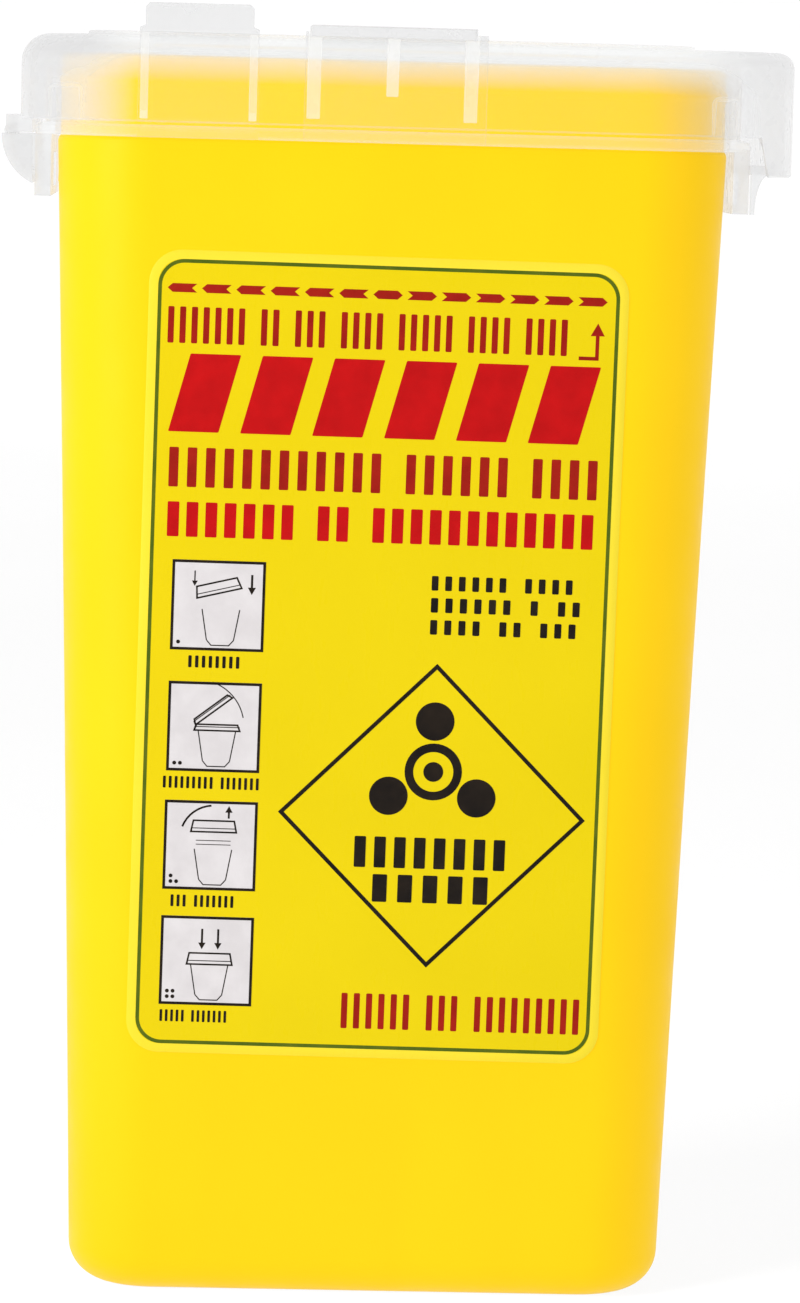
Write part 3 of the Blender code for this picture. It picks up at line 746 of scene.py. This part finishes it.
def lid_drawing(black, x, y, turn, height=1.7):
    """Outline of a lid seen from the front, turned about its left end, over a thin line."""
    width, lean, line_up = 6.8, 0.35, 0.55
    cos, sin = math.cos(math.radians(turn)), math.sin(math.radians(turn))

    def turned(*points):
        return [(x + a * cos + b * sin, y + b * cos - a * sin) for a, b in points]

    top = [(lean, -height), (width - lean, -height)]
    black.line(turned((0, 0), *top, (width, 0), (0, 0), (0.1, -0.4)), 0.26)
    black.line(turned((0, -line_up), (width, -line_up)), 0.14)


def pips(black, left, low, number):
    """The picture's number as dots in two columns, from its lower left corner."""
    inset, pitch, radius = 1.2, 0.85, 0.3
    for pip in range(number):
        x, y = left + inset + pitch * (pip % 2), low - inset - pitch * (pip // 2)
        black.disc(x, y, radius, 12)


def picture(black, white, top, number):
    """One box of the plain picture guide: a bin, its lid and arrows."""
    left, width, height, border = 3.4, 13.9, 13.5, 0.42
    right, low = left + width, top + height
    white.shape(rectangle(left, right, top, low))
    black.frame(left, right, top, low, border)
    pips(black, left, low, number)
    middle, rim = left + 7.4, top + 7.3
    container_drawing(black, middle, rim)
    if number == 1:
        lid_drawing(black, middle - 3.6, rim - 1.6, 14)
        black.arrow((left + 11.9, top + 2.0), (left + 11.9, top + 5.0), 0.34, 1.1)
        black.arrow((left + 3.4, top + 1.6), (left + 3.4, top + 3.9), 0.2, 0.8)
    elif number == 2:
        lid_drawing(black, middle - 3.4, rim, 0, 0.9)
        lid_drawing(black, middle - 3.2, rim - 0.8, 38, 0.8)
        black.line(arc(middle - 3.0, rim - 0.6, 7.0, -72, -12, 10), 0.17)
    elif number == 3:
        lid_drawing(black, middle - 3.4, rim - 2.6, 0)
        black.line(arc(middle, rim - 1.6, 5.0, 200, 265, 8), 0.30)
        black.arrow((middle + 2.2, rim - 4.7), (middle + 2.2, rim - 6.6), 0.3, 1.0)
        for gap in (0.7, 1.3):
            black.line([(middle - 2.6, rim - gap), (middle + 2.6, rim - gap)], 0.12)
    else:
        lid_drawing(black, middle - 3.4, rim, 0)
        for x in (-1.2, 1.2):
            black.arrow((middle + x, rim - 5.4), (middle + x, rim - 2.3), 0.32, 1.0)


def make_label():
    make_film()
    green = Print("label_border", green_ink)
    green.frame(0, BORDER_WIDTH / MM, 0, BORDER_HEIGHT / MM, 0.55, BORDER_RADIUS / MM)
    red = Print("label_red_print", red_ink)
    maroon = Print("label_maroon_print", maroon_ink)
    white = Print("label_white_print", white_ink)
    black = Print("label_black_print", black_ink, INK_THICKNESS + 0.005 * MM)
    fill_line(maroon)
    text_rows(red, maroon, black)
    emblem(black)
    guide = ((44.5, 6.2, 13.8, (8,)), (62.7, 3.0, 17.3, (9, 7)))
    guide += ((80.6, 4.7, 14.1, (3, 7)), (98.1, 3.6, 13.6, (5, 7)))
    for number, (top, left, right, groups) in enumerate(guide, 1):
        picture(black, white, top, number)
        black.row(left, right, top + 14.3, top + 16.1, groups, 0.5)
    for colour in (green, red, maroon, white, black):
        colour.finish()


# -------- lid frame

COLLAR_OUT_X = COLLAR_IN_X + COLLAR_WALL
COLLAR_STEPS = 18
SKIRT_OUT = COLLAR_OUT_X + 1.4 * MM
SKIRT_WALL = 2.4 * MM
SKIRT_HALF = 24 * MM
BLADE_THICKNESS = 1.2 * MM
APERTURE = (36 * MM, 24 * MM, 10 * MM)


def collar_ring(offset, z):
    wide, deep, radius = COLLAR_IN_X + offset, COLLAR_IN_Y + offset, COLLAR_CORNER + offset
    return level(centred(wide, deep, radius, COLLAR_STEPS), z)


def collar_shell():
    """The wall over the bin's rim, its rounded shoulder, and the deck down to the aperture."""
    step = 0.15 * MM
    rings = [collar_ring(step, LID_LINE), collar_ring(COLLAR_WALL, LID_LINE)]
    rings.append(collar_ring(COLLAR_WALL, DECK_TOP - DECK_EDGE))
    for angle in quarter(8, 1):
        offset = COLLAR_WALL - DECK_EDGE * (1 - math.cos(angle))
        rings.append(collar_ring(offset, DECK_TOP - DECK_EDGE * (1 - math.sin(angle))))
    soft = 0.3 * MM
    wide, deep, radius = APERTURE
    for out, z in ((soft, DECK_TOP), (0, DECK_TOP - soft), (0, DECK_LOW + soft), (soft, DECK_LOW)):
        rings.append(level(centred(wide + out, deep + out, radius + out, COLLAR_STEPS), z))
    inner = DECK_EDGE - DECK_THICKNESS
    for angle in quarter(4):
        offset = -inner * (1 - math.sin(angle))
        rings.append(collar_ring(offset, DECK_LOW - inner * (1 - math.cos(angle))))
    rings.append(collar_ring(0, LID_LINE + step))
    return loft("lid_collar", rings, thin_lid, looped=True)


def flange():
    """The thicker band round the collar's foot."""
    low, top, soft = LID_LINE, LID_LINE + FLANGE_HEIGHT, 0.45 * MM
    root, out = COLLAR_WALL / 2, COLLAR_WALL + FLANGE_REACH
    section = ((root, low), (out - soft, low), (out, low + soft))
    section += ((out, top - soft), (out - soft, top), (root, top))
    return loft("flange", [collar_ring(*place) for place in section], thick_lid, looped=True)


def skirt(side):
    """The wall that hangs at one end over the bin's lug."""
    x0, x1 = sorted((side * (SKIRT_OUT - SKIRT_WALL), side * SKIRT_OUT))
    high = (x1, SKIRT_HALF, LID_LINE + FLANGE_HEIGHT / 2)
    return block(f"skirt_{side + 1}", (x0, -SKIRT_HALF, FRAME_LOW.z), high, ear_lid)


def window(side):
    """What is cut from a skirt, where the lug snaps in."""
    x0, x1 = sorted((side * (COLLAR_IN_X - 1 * MM), side * (SKIRT_OUT + 1 * MM)))
    half, gap = LUG_HALF + 1.5 * MM, 0.75 * MM
    low, high = LUG_Z - LUG_HEIGHT / 2 - gap, LUG_Z + LUG_HEIGHT + gap
    return block(f"window_{side + 1}", (x0, -half, low), (x1, half, high), thin_lid)


def tab_pad():
    """The pad under the release tab's web."""
    low = (TAB_LOW.x, TAB_HIGH.y - BLADE_THICKNESS, LID_LINE)
    high = (TAB_HIGH.x, -COLLAR_IN_Y - COLLAR_WALL, LID_LINE + 1.2 * MM)
    return block("tab_pad", low, high, thick_lid)


def release_notch():
    """The needle-release notch at one end of the aperture."""
    start, tip, half, root = APERTURE[0] - 1 * MM, APERTURE[0] + 8 * MM, 2.6 * MM, 1.2 * MM
    outline = [(start, -half)] + arc(tip, 0, root, -90, 90, 8) + [(start, half)]
    return prism("notch", outline, "Z", DECK_LOW - 1 * MM, DECK_TOP + 1 * MM, thin_lid)


def prong_slot(node):
    """The slot in the deck round a locking prong."""
    low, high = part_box(node)
    gap = 1 * MM
    start = (low.x - gap, low.y - gap, DECK_LOW - gap)
    return block("slot_" + node, start, (high.x + gap, high.y + gap, DECK_TOP + gap), thin_lid)


def make_collar():
    """The lid's frame: collar, flange, pad and skirts, with all that is cut from them."""
    collar = collar_shell()
    combine(collar, "UNION", flange(), tab_pad(), skirt(-1), skirt(1))
    slots = [prong_slot(name) for name in ("lock_prong_front", "lock_prong_back")]
    combine(collar, "DIFFERENCE", window(-1), window(1), release_notch(), *slots)
    soften(collar, 0.12 * MM, 1)
    finished(collar, "lid", "lid_plastic", "lid_frame")


def make_wing():
    """The quarter-round wing under the flap hinge, with a web closing each end."""
    radius, wall = 8.1 * MM, 1.0 * MM
    centre_x, centre_z = WING_LOW.x + radius, WING_HIGH.z
    foot_x = WING_HIGH.x
    foot = 180 + math.degrees(math.acos((centre_x - foot_x) / radius))
    inner_foot = 180 + math.degrees(math.acos((centre_x - foot_x) / (radius - wall)))
    outline = arc(centre_x, centre_z, radius, 180, foot, 22)
    outline += arc(centre_x, centre_z, radius - wall, inner_foot, 180, 22)
    wing = prism("hinge_wing_shell", outline, "Y", WING_LOW.y, WING_HIGH.y, ear_lid)
    web = arc(centre_x, centre_z, radius - 0.1 * MM, 181, foot, 16)
    web.append((foot_x, web[0][1]))
    webs = []
    for side, edge in ((-1, WING_LOW.y), (1, WING_HIGH.y)):
        inner = edge - side * wall
        webs.append(prism(f"web_{side + 1}", web, "Y", min(edge, inner), max(edge, inner), ear_lid))
    combine(wing, "UNION", *webs)
    soften(wing, 0.2 * MM)
    finished(wing, "lid", "lid_plastic", "hinge_wing")


def make_shelf():
    """The ledge that the flap's right end comes down to, on three hollow-edged gussets."""
    root, foot_z, thickness = SHELF_LOW.x, SHELF_LOW.z, 1.3 * MM
    low = SHELF_HIGH.z - thickness
    shelf = block("catch_ledge", (root, SHELF_LOW.y, low), SHELF_HIGH, ear_lid)
    reach, toe, hidden = 2.6 * MM, 0.6 * MM, low + thickness / 2
    outline = []
    for angle in range(90, 181, 6):
        turn = math.radians(angle)
        x = root + reach + (reach - toe) * math.cos(turn)
        outline.append((x, foot_z + (low - foot_z) * math.sin(turn)))
    outline += [(root, foot_z), (root, hidden), (root + reach, hidden)]
    gussets, width = [], 1.4 * MM
    for place in (-1, 0, 1):
        start = place * (SHELF_HIGH.y - width / 2) - width / 2
        gussets.append(prism(f"gusset_{place + 1}", outline, "Y", start, start + width, ear_lid))
    combine(shelf, "UNION", *gussets)
    soften(shelf, 0.2 * MM)
    finished(shelf, "lid", "lid_plastic", "catch_shelf")


# -------- flap


def eased(value, low, high):
    share = min(max((value - low) / (high - low), 0), 1)
    return share * share * (3 - 2 * share)


# The flap's top edge is rounder at the hinge end. Its plateau stands in from each side.
HINGE_EDGE, FREE_EDGE = 4.2 * MM, 2.4 * MM
PLATEAU_LEFT, PLATEAU_RIGHT, PLATEAU_SIDE = 9.8 * MM, 14.9 * MM, 5.4 * MM
PLATEAU_CORNER = 7.8 * MM
FLAP_STEPS = 26


def flap_outline(inset):
    sides = (FLAP_LEFT + inset, FLAP_RIGHT - inset, FLAP_LOW.y + inset, FLAP_HIGH.y - inset)
    return rounded(*sides, FLAP_CORNER - inset, FLAP_STEPS)


def skirt_low(x):
    """The skirt's lower edge: above the flange, and lower round the right end."""
    drop = eased(x, SHELF_LOW.x + 0.1 * MM, SHELF_LOW.x + 1.2 * MM)
    return SKIRT_LOW + (FLAP_LOW.z - SKIRT_LOW) * drop


def skirt_ring(inset, rise):
    return [(x, y, skirt_low(x) + rise) for x, y in flap_outline(inset)]


def edge_ring(inset, angle, top):
    """One step of the rounded top edge."""
    centre_x = (FLAP_LEFT + FLAP_RIGHT) / 2
    wide, deep = (FLAP_RIGHT - FLAP_LEFT) / 2 - inset, FLAP_HIGH.y - inset
    ring = []
    for x, y in flap_outline(inset):
        share = (x - FLAP_LEFT) / (FLAP_RIGHT - FLAP_LEFT)
        radius = HINGE_EDGE + (FREE_EDGE - HINGE_EDGE) * share - inset
        pull = radius * (1 - math.cos(angle))
        scale_x, scale_y = 1 - pull / wide, 1 - pull / deep
        z = top - radius * (1 - math.sin(angle))
        ring.append((centre_x + (x - centre_x) * scale_x, y * scale_y, z))
    return ring


def plateau_ring(inset, z):
    left, right = FLAP_LEFT + PLATEAU_LEFT + inset, FLAP_RIGHT - PLATEAU_RIGHT - inset
    front, back = FLAP_LOW.y + PLATEAU_SIDE + inset, FLAP_HIGH.y - PLATEAU_SIDE - inset
    return level(rounded(left, right, front, back, PLATEAU_CORNER - inset, FLAP_STEPS), z)


def bead(name, path, radius, material):
    """A round bead with closed ends along a path of 3-D points."""
    points = [Vector(p) for p in path]
    rings, end_share = [], 0.6
    for i, here in enumerate(points):
        along = (points[min(i + 1, len(points) - 1)] - points[max(i - 1, 0)]).normalized()
        side = along.cross(Vector((0, 1, 0.01))).normalized()
        over = side.cross(along).normalized()
        size = radius * (end_share if i in (0, len(points) - 1) else 1.0)
        angles = [math.radians(45 * k) for k in range(8)]
        rings.append([here + (side * math.cos(a) + over * math.sin(a)) * size for a in angles])
    return loft(name, rings, material)


def front_surface(x, proud):
    """Y of the flap's front skirt at this x, round its corners, moved out by a distance."""
    for side, corner in ((-1, FLAP_LEFT + FLAP_CORNER), (1, FLAP_RIGHT - FLAP_CORNER)):
        if side * (x - corner) > 0:
            across = min(abs(x - corner), FLAP_CORNER - 0.01 * MM)
            return FLAP_LOW.y + FLAP_CORNER - math.sqrt(FLAP_CORNER**2 - across**2) - proud
    return FLAP_LOW.y - proud


def corner_hoop(name, x0, x1, height):
    """The raised upside-down U beside a front corner."""
    radius, soft, across = 0.36 * MM, 0.8 * MM, 5
    z0, z1 = SKIRT_LOW + 0.3 * MM, LID_LINE + height
    bends = [(soft * (1 - math.cos(a)), soft * (1 - math.sin(a))) for a in (0.5, 1.0)]
    path = [(x0, z0), (x0, z1 - soft)] + [(x0 + a, z1 - b) for a, b in bends]
    path += [(x0 + soft + (x1 - x0 - 2 * soft) * i / across, z1) for i in range(across + 1)]
    path += [(x1 - a, z1 - b) for a, b in reversed(bends)] + [(x1, z1 - soft), (x1, z0)]
    points = [(x, front_surface(x, 0.05 * MM), z) for x, z in path]
    return bead(name, points, radius, thick_lid)


def flap_shell():
    """Under the top, round the skirt's edge, up the outside and onto the plateau."""
    edges, under, soft = quarter(10), FLAP_TOP - FLAP_WALL, 0.3 * MM
    rings = [level([(x * 0.5, y * 0.4) for x, y in flap_outline(FLAP_WALL)], under)]
    rings += [edge_ring(FLAP_WALL, angle, under) for angle in reversed(edges)]
    skirt_edge = ((FLAP_WALL, soft), (FLAP_WALL - soft, 0), (soft, 0), (0, soft))
    rings += [skirt_ring(*place) for place in skirt_edge]
    rings += [edge_ring(0, angle, FLAP_TOP) for angle in edges]
    rings += [
        plateau_ring(-0.25 * MM, FLAP_TOP + 0.02 * MM),
        plateau_ring(0, FLAP_TOP + 0.15 * MM),
        plateau_ring(0.1 * MM, FLAP_HIGH.z - 0.12 * MM),
        plateau_ring(0.35 * MM, FLAP_HIGH.z),
        plateau_ring(4 * MM, FLAP_HIGH.z),
    ]
    return loft("flap_shell", rings, thin_lid)


def make_flap():
    """The long cap, with the leaf of its hinge and a raised hoop at each front corner."""
    leaf_right = -COLLAR_OUT_X - FLANGE_REACH - 0.3 * MM
    low = (FLAP_LOW.x, WING_LOW.y, WING_HIGH.z + 0.2 * MM)
    leaf = block("hinge_leaf", low, (leaf_right, WING_HIGH.y, SKIRT_LOW + 0.6 * MM), ear_lid)
    left_hoop = corner_hoop("hoop_left", -51.0 * MM, -46.4 * MM, 7.3 * MM)
    right_hoop = corner_hoop("hoop_right", 46.4 * MM, 50.0 * MM, 7.8 * MM)
    flap = flap_shell()
    combine(flap, "UNION", leaf, left_hoop, right_hoop)
    finished(flap, "flap", "lid_plastic", "flap_cap")


def make_plug():
    """The collar under the flap: a thin wall with a lead-in edge that drops into the aperture."""
    wide, deep = PLUG_HIGH.x, PLUG_HIGH.y
    radius, wall, soft = APERTURE[2] - 1 * MM, 1.2 * MM, 0.35 * MM
    rings = []
    for inset, z in (
        (wall, PLUG_HIGH.z),
        (0, PLUG_HIGH.z),
        (0.05 * MM, PLUG_LOW.z + 3 * soft),
        (0.15 * MM, PLUG_LOW.z + soft),
        (0.15 * MM + soft, PLUG_LOW.z),
        (wall - soft / 2, PLUG_LOW.z),
        (wall, PLUG_LOW.z + soft / 2),
    ):
        rings.append(level(centred(wide - inset, deep - inset, radius - inset, 14), z))
    plug = loft("plug_collar", rings, thin_lid, looped=True)
    finished(plug, "flap", "lid_plastic", "flap_plug")


def make_prong(name, node):
    """An arrow-headed locking prong with softened edges and a saw slot up its middle."""
    low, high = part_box(node)
    middle, stem, barb, tip = (low.x + high.x) / 2, 0.8 * MM, 1.4 * MM, 0.32 * MM
    side = [(tip, low.z), (barb, low.z + 2.0 * MM), (stem, low.z + 2.4 * MM), (stem, high.z)]
    outline = [(middle - a, z) for a, z in reversed(side)] + [(middle + a, z) for a, z in side]
    prong = prism(name, outline, "Y", low.y, high.y, thick_lid)
    centre_y, slot, past = (low.y + high.y) / 2, 0.45 * MM, 1 * MM
    start = (low.x - past, centre_y - slot, low.z - past)
    end = (high.x + past, centre_y + slot, low.z + 3.4 * MM)
    combine(prong, "DIFFERENCE", block(name + "_slot", start, end, thick_lid))
    soften(prong, 0.15 * MM)
    finished(prong, "flap", "lid_plastic", node)


def make_press_lip():
    """Apron, ledge and three gussets, where a thumb pushes the flap shut."""
    ledge_low = LIP_HIGH.z - 1.7 * MM
    top, front = ledge_low + 0.8 * MM, LIP_LOW.y + 0.4 * MM
    apron, apron_back = FLAP_LOW.y - 1.4 * MM, FLAP_LOW.y - 0.3 * MM
    low, high = (LIP_LOW.x, apron, LIP_LOW.z), (LIP_HIGH.x, apron_back, top)
    lip = block("press_lip_body", low, high, blade_lid)
    left, right = LIP_LOW.x + 0.7 * MM, LIP_HIGH.x - 1.8 * MM
    low, high = (left, LIP_LOW.y, ledge_low), (right, LIP_HIGH.y, LIP_HIGH.z)
    ledge = block("ledge", low, high, blade_lid)
    ribs = []
    for x, depth, width in (
        (left + 0.6 * MM, 12.5 * MM, 1.9 * MM),
        ((left + right) / 2, 9 * MM, 1.7 * MM),
        (right - 0.6 * MM, 12.5 * MM, 1.9 * MM),
    ):
        root, skin_y = apron + 0.5 * MM, apron - 0.2 * MM
        outline = [(root, top), (root, top - depth - 0.6 * MM), (skin_y, top - depth)]
        outline += [(front, top - 1.2 * MM), (front, top)]
        start = x - width / 2
        ribs.append(prism(f"rib_{len(ribs)}", outline, "X", start, start + width, bright_lid))
    combine(lip, "UNION", ledge, *ribs)
    soften(lip, 0.22 * MM)
    finished(lip, "flap", "lid_plastic", "press_lip")


def make_release_tab():
    """The sprung blade: a rib down each side, and a narrower grip above the flap."""
    low, high = TAB_LOW, TAB_HIGH
    shoulder, inset, soft = high.z - 3.6 * MM, 1.0 * MM, 0.6 * MM
    side = [(0, low.z), (0.2 * MM, shoulder), (inset, shoulder + 0.3 * MM)]
    side += [(inset, high.z - soft), (inset + soft, high.z)]
    outline = [(high.x - a, z) for a, z in side] + [(low.x + a, z) for a, z in reversed(side)]
    front = high.y - BLADE_THICKNESS
    tab = prism("release_tab_blade", outline, "Y", front, high.y, blade_lid)
    middle, width = front + BLADE_THICKNESS / 2, 1.1 * MM
    rib = [(middle, low.z), (low.y, low.z + 1.6 * MM), (low.y, shoulder - 3.0 * MM)]
    rib.append((middle, shoulder))
    parts = []
    for x in (low.x + 0.4 * MM, high.x - 0.4 * MM - width):
        parts.append(prism(f"tab_rib_{len(parts)}", rib, "X", x, x + width, bright_lid))
    combine(tab, "UNION", *parts)
    soften(tab, 0.18 * MM)
    finished(tab, "release_tab", "lid_plastic", "release_tab")


# -------- living hinges


def make_flap_hinge():
    """The thin web that joins the flap's leaf to the wing, in three lengths."""
    x, z0, z1 = FLAP_LOW.x, WING_HIGH.z - 0.4 * MM, LID_LINE + 1.4 * MM
    thickness, inset, bulge, steps = 0.28 * MM, 0.1 * MM, 0.35 * MM, 14
    for number, (y0, y1) in enumerate(((-26, -10), (-8, 8), (10, 26))):
        rings = []
        for i in range(steps + 1):
            out = x + inset - bulge * math.sin(math.pi * i / steps)
            outline = rectangle(out, out + thickness, y0 * MM, y1 * MM)
            rings.append(level(outline, z0 + (z1 - z0) * i / steps))
        web = loft(f"flap_hinge_web_{number}", rings, ear_lid)
        shaded(web, "lid_plastic")
        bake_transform(web)


def make_tab_hinge():
    """The thin web at the foot of the release tab."""
    y, z0, z1 = TAB_HIGH.y - BLADE_THICKNESS / 2, LID_LINE + 0.9 * MM, TAB_LOW.z + 0.5 * MM
    x0, x1 = TAB_LOW.x + 0.5 * MM, TAB_HIGH.x - 0.5 * MM
    half, steps = 0.2 * MM, 12
    outline = rectangle(x0, x1, y - half, y + half)
    rings = [level(outline, z0 + (z1 - z0) * i / steps) for i in range(steps + 1)]
    web = loft("tab_hinge_web", rings, thin_lid)
    shaded(web, "lid_plastic")
    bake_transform(web)


# -------- camera and studio

AIM = Vector((4.0, 0.0, 95.4)) * MM
CAMERA_DISTANCE = 825.4 * MM
CAMERA_YAW = math.radians(2.375)
CAMERA_PITCH = math.radians(-5.726)
CAMERA_ROLL = math.radians(-1.573)
FOCAL_LENGTH = 146.9


def make_camera():
    """A long lens aimed at AIM, from a little above and to the left, rolled slightly."""
    flat = math.cos(CAMERA_PITCH)
    forward = Vector(
        (math.sin(CAMERA_YAW) * flat, math.cos(CAMERA_YAW) * flat, math.sin(CAMERA_PITCH))
    )
    right = Vector((math.cos(CAMERA_YAW), -math.sin(CAMERA_YAW), 0))
    up = right.cross(forward)
    rolled_right = right * math.cos(CAMERA_ROLL) - up * math.sin(CAMERA_ROLL)
    rolled_up = right * math.sin(CAMERA_ROLL) + up * math.cos(CAMERA_ROLL)
    turn = Matrix((rolled_right, rolled_up, -forward)).transposed().to_4x4()
    data = bpy.data.cameras.new("camera")
    data.lens = FOCAL_LENGTH
    data.sensor_width = 36
    data.clip_start = 0.01
    camera = bpy.data.objects.new("camera", data)
    camera.matrix_world = Matrix.Translation(AIM - forward * CAMERA_DISTANCE) @ turn
    bpy.context.scene.collection.objects.link(camera)
    bpy.context.scene.camera = camera


def area_light(name, place, target, size, power):
    data = bpy.data.lights.new(name, "AREA")
    data.shape = "RECTANGLE"
    data.size, data.size_y = size
    data.energy = power
    lamp = bpy.data.objects.new(name, data)
    lamp.location = place
    lamp.rotation_euler = (Vector(target) - Vector(place)).to_track_quat("-Z", "Y").to_euler()
    lamp.visible_camera = False
    bpy.context.scene.collection.objects.link(lamp)
    return lamp


def make_studio():
    """Even white surroundings, with a soft key light close on the left."""
    world = bpy.data.worlds.new("studio")
    world.use_nodes = True
    background = world.node_tree.nodes["Background"]
    background.inputs["Color"].default_value = (1, 1, 1, 1)
    background.inputs["Strength"].default_value = 0.97
    scene = bpy.context.scene
    scene.world = world
    middle = (0, 0, 0.1)
    key = area_light("key", (-0.42, -0.34, 0.26), middle, (0.30, 0.45), 1.3)
    key.light_linking.receiver_collection = key_lit
    area_light("fill", (0.9, -0.8, 0.35), middle, (0.7, 0.7), 0.6)
    area_light("back", (0, 2.5, 2.0), (0, 4.2, 0.2), (3.0, 1.0), 4)
    scene.view_settings.view_transform = "Standard"
    scene.cycles.max_bounces = 16
    scene.cycles.transparent_max_bounces = 64


def floor_paint():
    material, shader = new_material("floor_paint", Roughness=0.8, Specular_IOR_Level=0.2)
    clouds = ranged(material, noise(material, 3, 2), 0, 1)
    base = mixed(material, clouds, (0.985, 0.985, 0.985), (0.995, 0.995, 0.995))
    join(material, base, shader.inputs["Base Color"])
    return material


def make_floor():
    """A plain pale floor that curves up into a backdrop."""
    half, front, back, radius, height = 6.0, -6.0, 5.0, 1.5, 5.0
    profile = [(front, 0.0)]
    profile += [(back - radius + a, radius + b) for a, b in arc(0, 0, radius, -90, 0, 12)]
    profile.append((back, height))
    bm = bmesh.new()
    rows = [[bm.verts.new((x, y, z)) for y, z in profile] for x in (-half, half)]
    for i in range(len(profile) - 1):
        bm.faces.new((rows[0][i], rows[1][i], rows[1][i + 1], rows[0][i + 1]))
    floor = solid("floor", bm, floor_paint())
    floor.data.shade_smooth()
    key_lit.objects.link(floor)


# -------- the whole scene

make_bin()
make_label()
make_collar()
make_wing()
make_shelf()
make_flap()
make_plug()
make_prong("prong_front", "lock_prong_front")
make_prong("prong_back", "lock_prong_back")
make_press_lip()
make_release_tab()
make_flap_hinge()
make_tab_hinge()
make_camera()
make_studio()
make_floor()
